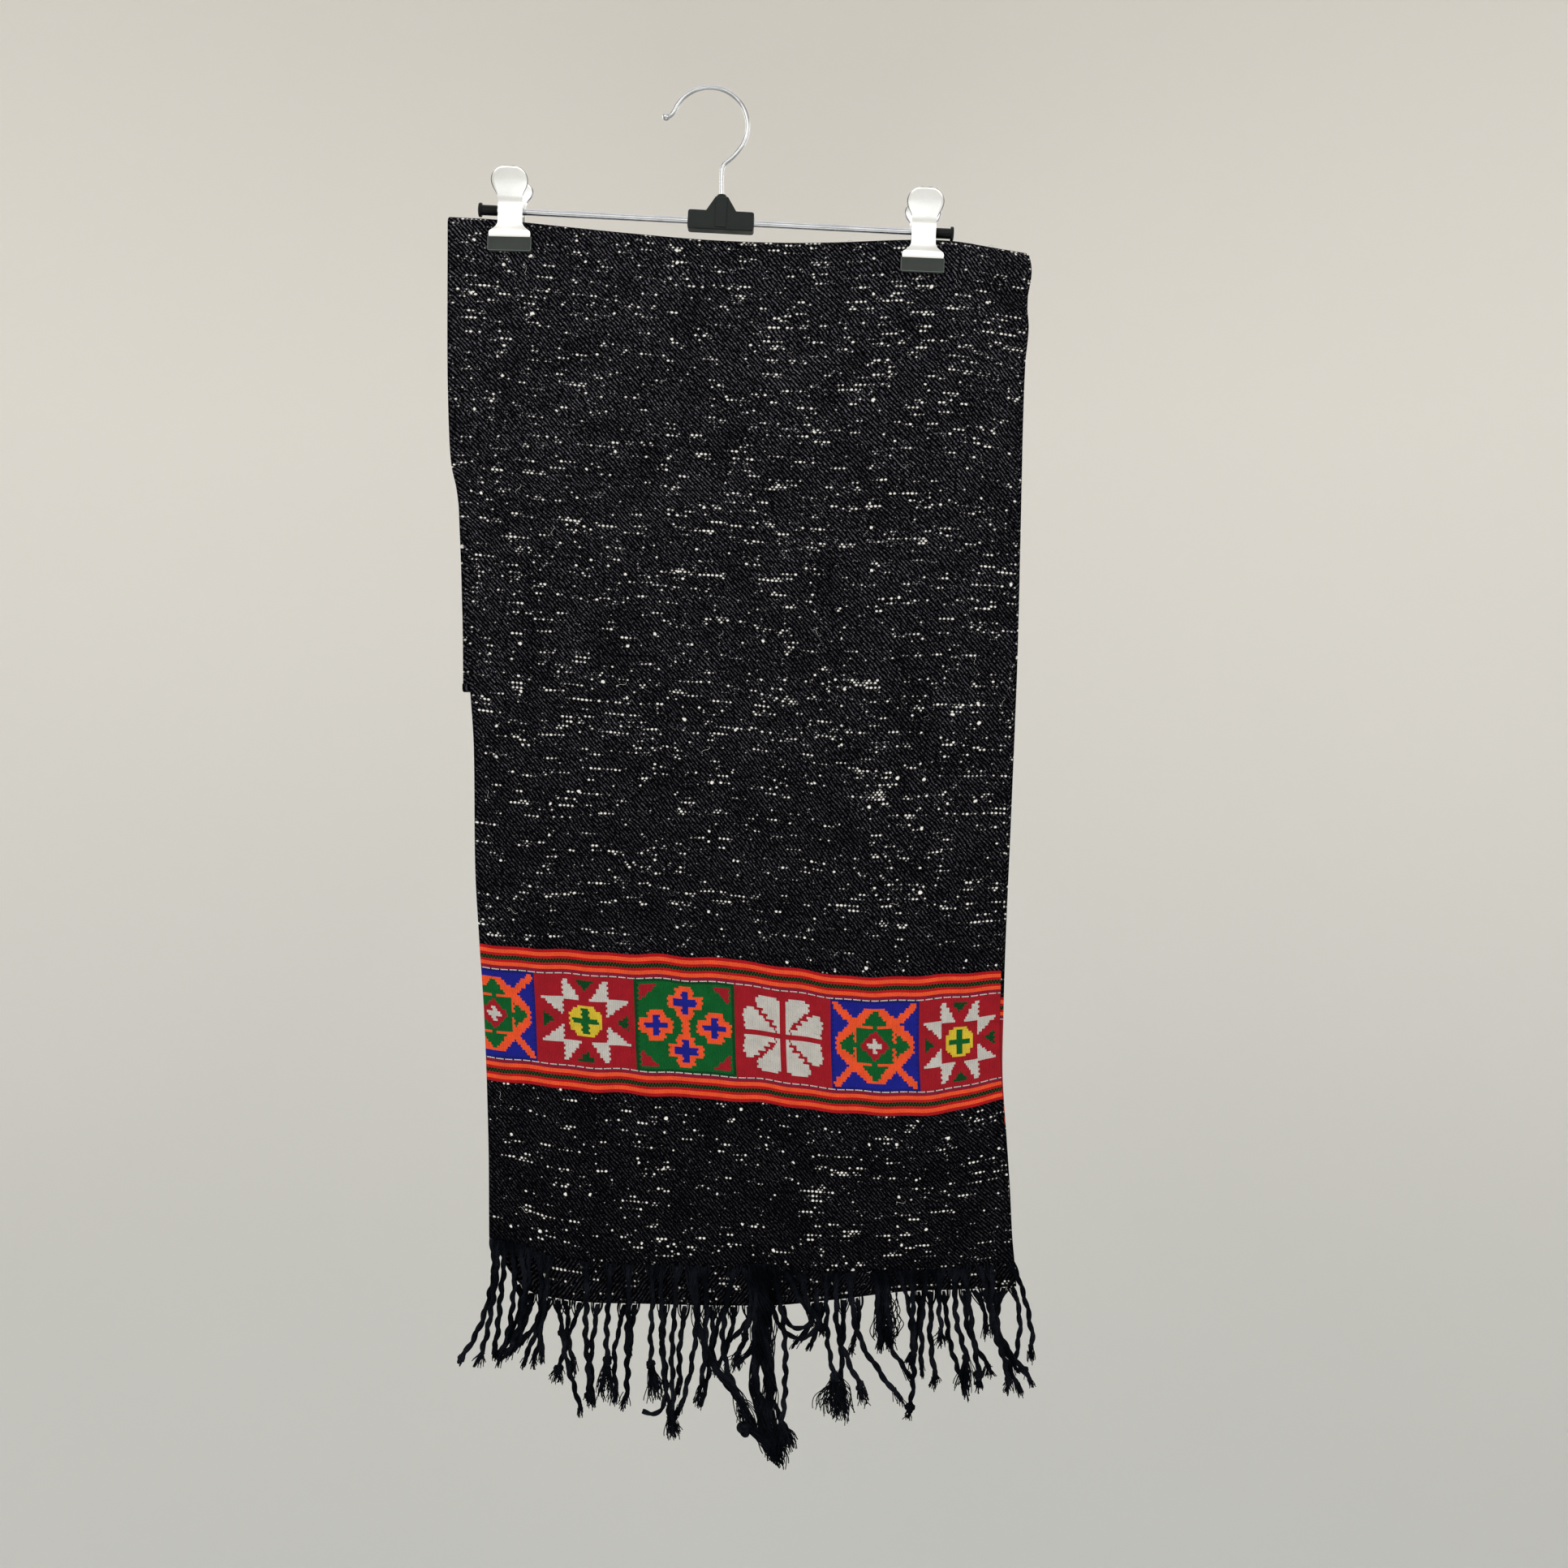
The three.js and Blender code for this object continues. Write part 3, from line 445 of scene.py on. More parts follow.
def wool_twill():
    material, tree, shader = new_material("black wool twill")
    threads, across, along = place_on_cut(tree)

    # Slanting lines, a little uneven
    uneven = add(tree, "TexNoise", {"Vector": threads, "Scale": 0.09, "Detail": 3.0})
    wobble = add(tree, "Math MULTIPLY", uneven, 1.6)
    slant = add(tree, "VectorMath DOT_PRODUCT", threads, (1 / TWILL_ACROSS, 1 / TWILL_ALONG, 0))
    bent = add(tree, "Math ADD", slant, wobble)
    angle = add(tree, "Math MULTIPLY", bent, 2 * math.pi)
    wave = add(tree, "Math COSINE", angle)
    ridge = add(tree, "MapRange", wave, -0.5, 1.0, interpolation_type="SMOOTHSTEP")

    # Nap: grey fibre ends that catch the light in patches along the lines
    fibre = add(tree, "TexNoise", {"Vector": threads, "Scale": 0.75, "Detail": 3.0,
                                   "Roughness": 0.75})
    strong_fibre = add(tree, "MapRange", fibre, 0.4, 0.68)
    patch = add(tree, "TexNoise", {"Vector": threads, "Scale": 0.035, "Detail": 2.0})
    # Painted shade: the grey of the nap is painted darker down the cloth towards the hem.
    nap_painted_shade_to_hem = add(tree, "MapRange", along, 0.0, 650.0, 0.22, 0.92)
    dusty = add(tree, "MapRange", patch, 0.3, 0.7, 0.5, 1.2)
    bloom = add(tree, "Math MULTIPLY", dusty, nap_painted_shade_to_hem)
    broken = add(tree, "TexNoise", {"Vector": threads, "Scale": 0.42, "Detail": 1.0})
    dash = add(tree, "MapRange", broken, 0.38, 0.62, 0.12, 1.0)
    dashed = add(tree, "Math MULTIPLY", ridge, dash)
    lit = add(tree, "Math MULTIPLY", dashed, strong_fibre)
    nap = add(tree, "Math MULTIPLY", lit, bloom)
    ground = add(tree, "Mix RGBA", {"Factor": nap, "A": "#020204", "B": "#82828C"})

    # Slubs: a run of flecks in a row, where a slow noise along that row is high
    row_place = add(tree, "Math DIVIDE", along, SLUB_ROW)
    row = add(tree, "Math FLOOR", row_place)
    in_row = add(tree, "Math SUBTRACT", row_place, row)
    lines = add(tree, "Math DIVIDE", across, TWILL_ACROSS)
    stepped = add(tree, "Math MULTIPLY_ADD", row, 0.5, lines)
    column = add(tree, "Math FLOOR", stepped)
    in_column = add(tree, "Math SUBTRACT", stepped, column)
    cell = add(tree, "CombineXYZ", column, row)
    cell_chance = add(tree, "TexWhiteNoise", {"Vector": cell}, noise_dimensions="2D")
    row_chance = add(tree, "TexWhiteNoise", {"W": row}, noise_dimensions="1D")
    far_row = add(tree, "Math MULTIPLY", row, 5.37)
    run_step = add(tree, "Math MULTIPLY", across, 0.045)
    run_place = add(tree, "CombineXYZ", run_step, far_row)
    run = add(tree, "TexNoise", {"Vector": run_place, "Scale": 1.0, "Detail": 2.0,
                                 "Roughness": 0.6}, noise_dimensions="2D")
    cloud = add(tree, "TexNoise", {"Vector": threads, "Scale": 0.012, "Detail": 1.0})
    long_run = add(tree, "Math MULTIPLY", run, 1.1)
    with_cell = add(tree, "Math MULTIPLY_ADD", cell_chance, 0.26, long_run)
    with_row = add(tree, "Math MULTIPLY_ADD", row_chance, 0.1, with_cell)
    wanted = add(tree, "Math MULTIPLY_ADD", cloud, 0.12, with_row)
    scarce = add(tree, "MapRange", along, 0.0, 700.0, 0.945, 0.916)
    strength = add(tree, "MapRange", wanted, scarce, 1.14)
    reach = add(tree, "Math POWER", strength, 0.5)
    reach = add(tree, "Math MULTIPLY", reach, 0.37)
    flat_place = add(tree, "CombineXYZ", in_column, in_row)
    from_middle = add(tree, "VectorMath SUBTRACT", flat_place, (0.5, 0.5, 0))
    in_shape = add(tree, "VectorMath MULTIPLY", from_middle,
                   (0.88, 1.05 * SLUB_ROW / TWILL_ACROSS, 0))
    away = add(tree, "VectorMath LENGTH", in_shape)
    ragged = add(tree, "Math MULTIPLY_ADD", fibre, 0.34, -0.17)
    edge = add(tree, "Math ADD", away, ragged)
    inside = add(tree, "Math SUBTRACT", reach, edge)
    slub = add(tree, "MapRange", inside, 0.0, 0.17)

    # Neps: small round knots of white fibre, strewn at random
    shaken = add(tree, "TexNoise", {"Vector": threads, "Scale": 0.5, "Detail": 2.0})
    shaken_place = add(tree, "VectorMath MULTIPLY_ADD", shaken.outputs["Color"], (2.2, 1.6, 0),
                       threads)
    spots = add(tree, "TexVoronoi", {"Vector": shaken_place, "Scale": 0.055},
                voronoi_dimensions="2D")
    nep_kind = add(tree, "SeparateXYZ", spots.outputs["Color"])
    nep_size = add(tree, "MapRange", nep_kind.outputs[0], 0.45, 1.0, 0.0, 0.085)
    nep_inside = add(tree, "Math SUBTRACT", nep_size, spots.outputs["Distance"])
    nep = add(tree, "MapRange", nep_inside, 0.0, 0.03)

    white = add(tree, "Math MAXIMUM", slub, nep)
    fleck_tone = add(tree, "MapRange", strength, 0.02, 0.5)
    fleck_light = add(tree, "Math MAXIMUM", fleck_tone, nep)
    fleck = add(tree, "Mix RGBA", {"Factor": fleck_light, "A": "#6E6E72", "B": "#E6E4DE"})
    colour = add(tree, "Mix RGBA", {"Factor": white, "A": ground, "B": fleck})

    # Relief in millimetres: the lines, the fibres and the flecks standing on them
    lines_up = add(tree, "Math MULTIPLY", ridge, 0.16)
    fibres_up = add(tree, "Math MULTIPLY_ADD", fibre, 0.22, lines_up)
    relief = add(tree, "Math MULTIPLY_ADD", white, 0.3, fibres_up)
    bump = add(tree, "Bump", {"Height": relief, "Distance": MM, "Strength": 0.8})
    feed(tree, shader, {"Base Color": colour, "Normal": bump, "Roughness": 0.95,
                        "Specular IOR Level": 0.01})
    return material


twill = wool_twill()
print("twill lines", TWILL_ACROSS, "mm apart across and", TWILL_ALONG, "mm along")

# %% [markdown]
# ## The cloth
# Each stretch is a thin shell: a grid of points on the cloth's middle surface, 4 mm apart,
# given its thickness by a Solidify modifier. Simulation could drape it, but this cloth hangs
# flat in known folds, so the grid goes straight to its place. Every point keeps its place on
# the flat cut in a UV map, in metres.

# %% Cloth shells
CLOTH_THICKNESS = 0.9
END_LENGTH = 112
BORDER_HEIGHT = 94.5
DROP_LENGTH = 490
# Rows of points down the front, down the end, over the top, down the back, round the foot
FRONT_ROWS, END_ROWS, OVER_ROWS, DOWN_ROWS, FOOT_ROWS = 122, 28, 12, 72, 10


def level(line, drop_line=None, fold_height=0):
    """Height at x on a layer, where the under layer (1) hangs lower than the front one (0)."""
    if drop_line is None:
        return lambda x, layer: line(x) + 0 * layer
    fold_x = float(left_fold(fold_height))
    return lambda x, layer: line(x) - layer * drop_line(x - fold_x)


def beat(x):
    """The small waves of a weft that was beaten in by hand."""
    return 0.55 * np.sin(x / 9.3 + 1.5 * np.sin(x / 41)) + 0.35 * np.sin(x / 5.1 + 2)


top_level = level(lambda x: top_fold(x) - STACK_HALF)
border_top_level = level(lambda x: border_top(x) + beat(x), drop_at_border, -590)
border_foot_level = level(lambda x: border_foot(x) + beat(x + 25), drop_at_border, -680)
hem_level = level(hem, drop_at_hem, -790)


def stack_edges(part):
    """The left and right edge of the stack, part of the way from its top to its foot."""
    slip = part * part * (3 - 2 * part)
    return [top + (foot - top) * slip for top, foot in zip(TOP_EDGES, BACK_EDGES)]


def front_rows(columns, upper, lower, parts):
    """Rows of the hanging front, each part of the way from an upper level to a lower one."""
    rows = []
    for part in parts:
        at_left, at_right = [
            float(upper(x, 0) + (lower(x, 0) - upper(x, 0)) * part) for x in (-165.0, 205.0)
        ]
        left, right = float(left_fold(at_left)), float(right_selvedge(at_right))
        across, depth, layer = section(columns, left, right)
        top, foot = upper(across, layer), lower(across, layer)
        z = top + (foot - top) * part
        rows.append(np.stack([across, drape(across, z) - depth, z], axis=1))
    return rows


def over_and_behind_rows(columns):
    """Rows over the top fold, down the back and round the bottom fold, with their lengths."""
    rows, lengths = [], []
    top_across, depth, _ = section(columns, *TOP_EDGES)
    axis = top_fold(top_across) - STACK_HALF
    for i in range(1, OVER_ROWS + 1):
        angle = math.pi * i / OVER_ROWS
        y, z = -depth * math.cos(angle), axis + depth * math.sin(angle)
        rows.append(np.stack([top_across, y, z], axis=1))
        lengths.append(TURN_DEPTH * angle)
    down = back_bottom - (float(top_fold(20)) - STACK_HALF)
    for i in range(1, DOWN_ROWS + 1):
        part = i / DOWN_ROWS
        across, depth, _ = section(columns, *stack_edges(part))
        axis = top_fold(across) - STACK_HALF
        z = axis + (back_bottom - axis) * part
        loose = eased(-z, 118, 200) * (1 - eased(-z, 340, 400))
        proud = loose * (1.0 - crease_depth(30 - across, z + 24))
        rows.append(np.stack([across, depth + proud, z], axis=1))
        lengths.append(TURN_DEPTH * math.pi - down * part)
    across, depth, _ = section(columns, *BACK_EDGES)
    radius = depth - BOTTOM_FOLD_AXIS
    for i in range(1, FOOT_ROWS + 1):
        angle = math.pi * i / FOOT_ROWS
        y = BOTTOM_FOLD_AXIS + radius * math.cos(angle)
        z = back_bottom - radius * math.sin(angle) + (3 if i == FOOT_ROWS else 0)
        rows.append(np.stack([across, y, z], axis=1))
        lengths.append(TURN_DEPTH * math.pi - down + 1.6 * angle)
    return rows, lengths


def cloth_shell(name, rows, across, along, material, thickness):
    """A cloth piece on rows of points, with its flat-cut map and its thickness."""
    count = len(rows[0])
    points = np.concatenate(rows)
    faces = [
        (a, a + count, a + count + 1, a + 1)
        for j in range(len(rows) - 1)
        for a in range(j * count, j * count + count - 1)
    ]
    piece = new_piece(name, points, faces, material)
    flat = np.stack(np.meshgrid(across, along), axis=2).reshape(-1, 2) * MM
    corners = np.array(faces).ravel()
    piece.data.uv_layers.new(name="cut").data.foreach_set("uv", flat[corners].ravel())
    modify(piece, "thickness", "SOLIDIFY", thickness=thickness * MM, offset=0)
    return piece


def dress(piece, slot, *nodes):
    """The piece stands for its CAD nodes and rides on the one body. Its slot is not used."""
    if nodes:
        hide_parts(*nodes)
    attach(piece, "root")
    return piece


flat_across = cut_across(COLUMNS)
drop_steps = [1 - i / FRONT_ROWS for i in range(FRONT_ROWS + 1)]
ground_rows = front_rows(COLUMNS, top_level, border_top_level, drop_steps)
behind_rows, behind_lengths = over_and_behind_rows(COLUMNS)
seam = END_LENGTH + BORDER_HEIGHT
ground_along = [seam + DROP_LENGTH * (1 - part) for part in drop_steps]
ground_along += [seam + DROP_LENGTH + length for length in behind_lengths]
stole_ground = cloth_shell("stole_ground", ground_rows + behind_rows, flat_across,
                           ground_along, twill, CLOTH_THICKNESS)

end_steps = [1 - i / END_ROWS for i in range(END_ROWS + 1)]
end_rows = front_rows(COLUMNS, border_foot_level, hem_level, end_steps)
end_along = [END_LENGTH * (1 - part) for part in end_steps]
stole_end = cloth_shell("stole_end", end_rows, flat_across, end_along, twill,
                        CLOTH_THICKNESS)
dress(stole_ground, "wool_twill", "front_drop", "back_run")
dress(stole_end, "wool_twill", "end_cloth")
print("ground", len(stole_ground.data.polygons), "end", len(stole_end.data.polygons), "faces")

# %% [markdown]
# ## The woven border
# The border is weft-faced: the coloured wefts are beaten so close that they cover the warp,
# and every edge between two colours climbs in small steps, a row at a time. It could be a
# picture on a plain sheet, but here the weave itself is the mesh: one face for each thread
# and row. Stripes come from a short table. The four motifs (star, crosses, flower and ring) are
# worked out from a few plain tests on the distance from a square's middle, and each face
# takes the dye that the test gives at its place.

# %% Border: dyes, stripes and motifs
DYES = {
    "red": "#A61A27", "stripe_red": "#BE141D", "orange": "#FB5A2E", "plum": "#8E1B34",
    "moss": "#2B4A1C", "soot": "#0B0D0A", "green": "#06602A", "dark_green": "#08441E",
    "blue": "#1A2290", "dark_blue": "#161B74", "yellow": "#E3C63A", "white": "#D0CDC7",
}
DYE_NAMES = list(DYES)
# Stripes from the outer edge of the border inwards: height, dye
STRIPES = [
    (2.1, "stripe_red"), (2.6, "orange"), (1.7, "stripe_red"), (1.4, "moss"), (1.4, "moss"),
    (1.7, "stripe_red"), (2.6, "orange"), (2.3, "plum"), (0.7, "white"),
]
# In these stripes every second or every sixth thread is soot
SPECKLED = {"moss": 2, "white": 6}
MOTIF_ROWS = 36
# Squares from the under selvedge to the front one: start on the cut, motif
SQUARES = [
    (-366, "flower"), (-298, "ring"), (-228, "star"), (-160, "crosses"), (-91, "flower"),
    (-24, "ring"), (36.6, "star"), (106.5, "crosses"), (178.1, "flower"), (245.4, "ring"),
    (308.6, "star"), (366, None),
]


def star(p, q):
    """Four pairs of white points round a yellow octagon with a green cross."""
    a, b = np.abs(p), np.abs(q)
    cloth = np.full(p.shape, "red", dtype=object)
    upright = (a < 0.46) & (b > 0.42) & (b < 0.91) & ((b - 0.41) / 0.60 < (a - 0.07) / 0.38)
    sideways = (b < 0.49) & (a > 0.44) & ((a - 0.41) / 0.50 < (b - 0.07) / 0.42)
    cloth[upright | sideways] = "white"
    cloth[(np.maximum(a, b) < 0.33) & (a + b < 0.48)] = "yellow"
    cloth[((a < 0.075) & (b < 0.27)) | ((b < 0.07) & (a < 0.26))] = "green"
    cloth[(b > 0.69) & (b < 0.87) & (a < 0.17 * (b - 0.66) / 0.2)] = "dark_green"
    cloth[(a > 0.65) & (a < 0.86) & (b < 0.14 * (a - 0.62) / 0.2)] = "dark_green"
    return cloth


def crosses(p, q):
    """Four orange crosses with blue hearts on green, the upper and lower one joined."""
    a, b = np.abs(p), np.abs(q)
    cloth = np.full(p.shape, "green", dtype=object)
    cloth[np.maximum(a, b) > 0.93] = "dark_green"
    cloth[(a < 0.89) & (b < 0.90) & (a + b > 1.42) & (a > 0.5)] = "red"
    cloth[(a < 0.075 + 0.25 * np.clip(b - 0.24, 0, 1)) & (b < 0.45)] = "orange"
    for middle_p, middle_q in ((0, 0.53), (0.58, 0)):
        u, v = np.abs(a - middle_p), np.abs(b - middle_q)
        arms = ((u < 0.34) & (v < 0.16)) | ((u < 0.18) & (v < 0.35))
        cloth[arms & (u + v < 0.45)] = "orange"
        cloth[((u < 0.23) & (v < 0.06)) | ((u < 0.065) & (v < 0.23))] = "blue"
    return cloth


def flower(p, q):
    """Eight white petals parted by a red cross and dotted diagonals."""
    a, b = np.abs(p), np.abs(q)
    cloth = np.full(p.shape, "red", dtype=object)
    aslant = np.abs(a - b)
    rim = 0.94 - 0.19 * np.clip(1 - aslant / 0.18, 0, 1) - 0.45 * np.clip(aslant - 0.40, 0, 1)
    petal = (np.hypot(a, b) < rim) & (a > 0.065) & (b > 0.07)
    cloth[petal] = "white"
    every_other_row = (b * MOTIF_ROWS / 2).astype(int) % 2
    dotted = (aslant < 0.035 + 0.06 * every_other_row) & (a > 0.15)
    cloth[petal & dotted] = "red"
    return cloth


def ring(p, q):
    """An orange ring with four arms on blue, trees in its lobes, a diamond in its middle."""
    a, b = np.abs(p), np.abs(q)
    cloth = np.full(p.shape, "blue", dtype=object)
    cloth[np.maximum(a, b) > 0.94] = "dark_blue"
    lobes = ((b < 0.86) & (a < 0.17 + (0.86 - b) * 1.05) & (b > 0.3) & (a < 0.56))
    lobes |= ((a < 0.87) & (b < 0.17 + (0.87 - a) * 1.05) & (a > 0.3) & (b < 0.56))
    arms = (np.abs(a - b) < 0.11) & (a > 0.4) & (np.maximum(a, b) < 0.93)
    cloth[lobes | arms | (np.maximum(a, b) < 0.5)] = "orange"
    for out, side in ((b, a), (a, b)):
        tree = (out < 0.78) & (out > 0.47) & (side < 0.04 + (0.78 - out) * 0.78)
        cloth[tree | ((side < 0.055) & (out > 0.3) & (out < 0.6))] = "green"
    cloth[(a < 0.42) & (b < 0.40)] = "green"
    cloth[a + b < 0.34] = "red"
    heart = ((a < 0.16) & (b < 0.045)) | ((a < 0.05) & (b < 0.14)) | (a + b < 0.12)
    cloth[heart] = "white"
    return cloth


MOTIFS = {"star": star, "crosses": crosses, "flower": flower, "ring": ring}

# %% [markdown]
# The rows of the border run from its foot to its top: stripes, motif rows, stripes. A thread
# is about 1 mm wide, and a motif row 1.7 mm high. Wefts bite a little to the left and right
# in turn, which gives each slanting edge its teeth.

# %% Border: the mesh of threads
BORDER_COLUMNS = hairpin(344, 4, 344)
motif_height = BORDER_HEIGHT - 2 * sum(height for height, _ in STRIPES)
row_heights = [height for height, _ in STRIPES]
row_heights += [motif_height / MOTIF_ROWS] * MOTIF_ROWS
row_heights += [height for height, _ in reversed(STRIPES)]
row_edges = np.concatenate([[0], np.cumsum(row_heights)])
border_steps = [1 - edge / BORDER_HEIGHT for edge in row_edges]
border_flat = cut_across(BORDER_COLUMNS)
thread_middles = (border_flat[1:] + border_flat[:-1]) / 2


def woven_dyes():
    """The dye of every face, row by row from the foot of the border."""
    rows = []
    first = len(STRIPES)
    for i in range(len(row_heights)):
        stripe = min(i, len(row_heights) - 1 - i)
        if stripe < first:
            row = np.full(len(thread_middles), STRIPES[stripe][1], dtype=object)
            step = SPECKLED.get(STRIPES[stripe][1])
            if step:
                row[stripe % step::step] = "soot"
            rows.append(row)
            continue
        q = ((i - first + 0.5) / MOTIF_ROWS - 0.5) * 2
        bite = 0.012 if i % 2 else -0.012
        row = np.full(len(thread_middles), "red", dtype=object)
        for (start, motif), (end, _) in zip(SQUARES, SQUARES[1:]):
            inside = (thread_middles >= start) & (thread_middles < end)
            p = (thread_middles[inside] - (start + end) / 2) / ((end - start) / 2) + bite
            row[inside] = MOTIFS[motif](p, np.full(p.shape, q))
        rows.append(row)
    return np.array(rows)


# %% [markdown]
# The dyed wool is matt and a little felted. Fine upright ribs, 1.5 mm apart, are the warp
# under the wefts, and each weft dips between two ribs, so the rows look like small plaits.

# %% Material: weft-faced wool
RIB_APART = 1.5


def weft_faced_wool():
    material, tree, shader = new_material("weft-faced dyed wool")
    colour = add(tree, "VertexColor", layer_name="dye").outputs["Color"]
    threads, across, along = place_on_cut(tree)
    ribs = add(tree, "Math MULTIPLY", across, 2 / RIB_APART)
    rib_side = add(tree, "Math PINGPONG", ribs, 1.0)
    rows = add(tree, "Math DIVIDE", along, 0.85)
    plait = add(tree, "Math MULTIPLY_ADD", rib_side, 0.9, rows)
    stitch = add(tree, "Math PINGPONG", plait, 0.5)
    felt = add(tree, "TexNoise", {"Vector": threads, "Scale": 1.1, "Detail": 3.0})
    gap = add(tree, "MapRange", stitch, 0.0, 0.36, 1.0, 0.0)
    uneven_gap = add(tree, "Math MULTIPLY", gap, felt)
    valley = add(tree, "MapRange", rib_side, 0.0, 0.3, 0.22, 0.0)
    dark = add(tree, "Math MULTIPLY_ADD", uneven_gap, 1.15, valley)
    shaded = add(tree, "Mix RGBA", {"Factor": dark, "A": colour, "B": "#140D10"})
    patch = add(tree, "TexNoise", {"Vector": threads, "Scale": 0.12, "Detail": 2.0})
    tone = add(tree, "MapRange", patch, 0.3, 0.7, 0.9, 1.08)
    worn = add(tree, "VectorMath SCALE", {0: shaded, "Scale": tone})
    ribs_up = add(tree, "Math MULTIPLY", rib_side, 0.16)
    relief = add(tree, "Math MULTIPLY_ADD", stitch, 0.35, ribs_up)
    bump = add(tree, "Bump", {"Height": relief, "Distance": MM, "Strength": 1.0})
    feed(tree, shader, {"Base Color": worn, "Normal": bump, "Roughness": 0.9,
                        "Specular IOR Level": 0.08, "Sheen Weight": 0.03, "Sheen Roughness": 0.5})
    return material


# %% Border: the piece
dyes = woven_dyes()
border_rows = front_rows(BORDER_COLUMNS, border_top_level, border_foot_level, border_steps)
stole_border = cloth_shell("stole_border", border_rows, border_flat,
                           END_LENGTH + row_edges, weft_faced_wool(), 1.0)
palette = np.array([dye(DYES[name]) for name in DYE_NAMES])
numbers = np.vectorize(DYE_NAMES.index)(dyes)
layer = stole_border.data.color_attributes.new("dye", "FLOAT_COLOR", "CORNER")
layer.data.foreach_set("color", np.repeat(palette[numbers].reshape(-1, 4), 4, axis=0).ravel())
dress(stole_border, "woven_border", "border_band")
print("border", dyes.shape, "threads")

# %% [markdown]
# ## The runs folded inside
# Behind the front, the rest of the stole is folded to and fro: three doubled runs lie inside
# the stack. Only their edges show, at the sides, as a pile of thin layers. They are one
# sheet along a folded path, a hairpin in its section like the rest.

# %% Inner runs
RUN_APART = 1.77
RUN_TURN = 0.44
RUN_FOOT = -398.2
RUN_HEIGHT = 290
RUN_THICKNESS = 0.78
RUN_ROWS, BEND_ROWS = 24, 6
BEND_LENGTH = 3
RUN_COLUMNS = hairpin(28, 6, 28)


def inner_run_rows():
    """Rows up the first run, over, down the second, round and up the third."""
    share, turn = np.array(RUN_COLUMNS).T
    lean = RUN_TURN * np.cos(turn)
    rows, lengths = [], []

    def row(up, y, lift, inset, length):
        left, right = stack_edges(1 - up)
        left, right = left + inset, right - inset
        x = left + (right - left) * share - RUN_TURN * np.sin(turn)
        head = top_fold(x) - STACK_HALF + 0.1
        z = RUN_FOOT + (head - RUN_FOOT) * up + lift
        rows.append(np.stack([x, y + 0 * x, z], axis=1))
        lengths.append(length)

    def run(middle_y, facing, inset, start):
        for i in range(RUN_ROWS + 1):
            up = i / RUN_ROWS if facing > 0 else 1 - i / RUN_ROWS
            row(up, middle_y + facing * lean, 0, inset, start - RUN_HEIGHT * i / RUN_ROWS)

    def bend(middle_y, side, inset, start):
        radius = RUN_APART / 2 + side * lean
        for i in range(1, BEND_ROWS):
            arc = math.pi * i / BEND_ROWS
            row(max(side, 0), middle_y + radius * math.cos(arc), radius * math.sin(arc) * side,
                inset, start - BEND_LENGTH * i / BEND_ROWS)

    second, third = -RUN_HEIGHT - BEND_LENGTH, -2 * RUN_HEIGHT - 2 * BEND_LENGTH
    run(RUN_APART, 1, 6.6, 0)
    bend(RUN_APART / 2, 1, 7.4, -RUN_HEIGHT)
    run(0, -1, 8.4, second)
    bend(-RUN_APART / 2, -1, 7.6, second - RUN_HEIGHT)
    run(-RUN_APART, 1, 6.2, third)
    return rows, lengths


run_rows, run_lengths = inner_run_rows()
inner_runs = cloth_shell("inner_runs", run_rows, cut_across(RUN_COLUMNS), run_lengths, twill,
                         RUN_THICKNESS)
dress(inner_runs, "wool_twill", "inner_folds")
print("inner runs", len(inner_runs.data.polygons), "faces")

# %% [markdown]
# ## The fringe
# The warp threads that the weft leaves free at the end are twisted in pairs. Each strand
# here is a path from its root under the hem to its tip: a table gives its root, its length,
# how far the tip leans and how far it bows. Strands that cross lie in lanes, one in front of
# the other. They are the paths of the CAD model's strands, with a little curl on top.

# %% Fringe tables and paths
# Root, length, lean of the tip, bow to the side
FRONT_STRANDS = [
    (-147, 82, -22, 9), (-143, 84, -14, 4), (-139, 80, -8, 2), (-134, 81, -9, 6),
    (-129, 75, -9, 9), (-123, 69, -9, 4), (-116, 78, -12, 8), (-109, 73, -10, 3),
    (-83, 93, 2, -1), (-67, 93, -2, -1), (-55, 97, -2, 1), (-39, 93, -2, 1),
    (-33, 113, 7, -2), (-22, 110, -3, -1), (-10, 103, -13, 7), (-4, 89, -4, 4),
    (17, 116, 19, -16), (26, 65, -11, 7), (33, 138, 18, -10), (38, 133, 10, -4),
    (44, 124, 0, 8), (52, 34, 19, 0), (61, 38, 16, -2), (79, 97, 12, -4),
    (86, 86, 21, -8), (95, 89, 37, -11), (112, 51, 3, 1), (119, 50, 4, 0),
    (129, 96, 6, 6), (136, 61, 2, 1), (147, 70, -4, -1), (155, 51, 2, 0),
    (166, 65, 9, -3), (172, 84, 11, 1), (184, 80, 19, 0), (191, 46, 0, 0),
    (204, 63, 14, 5),
]
UNDER_STRANDS = [
    (-129, 48, -15, 6), (-121, 40, -16, 4), (-114, 33, -16, 6), (-108, 42, -5, -4),
    (-103, 78, 16, -2), (-97, 47, 4, -1), (-88, 49, -16, 0), (-76, 68, -4, -2),
    (-58, 64, -6, -3), (-51, 34, -4, 0), (-31, 52, 1, -1), (-17, 58, -4, -1),
    (1, 68, -8, 4), (10, 75, 17, -15), (16, 45, -13, 4), (26, 24, -14, 6),
    (40, 95, 17, -10), (70, 27, -12, 5), (76, 30, -9, 3), (91, 80, -2, 0),
    (100, 36, -6, 4), (117, 57, 20, -7), (142, 45, -6, 3), (150, 64, 3, -1),
    (159, 72, 16, -3), (173, 58, 20, -6), (180, 26, 7, 3), (187, 70, 24, -3),
    (194, 67, 28, -9), (200, 57, 9, -8), (206, 63, -3, 8),
]
STRIP_GAP = 0.6
FIRST_LANE = 1.35
LANE_PITCH = 3.5
LANE_CLEARANCE = 3.4
chance = np.random.default_rng(27)


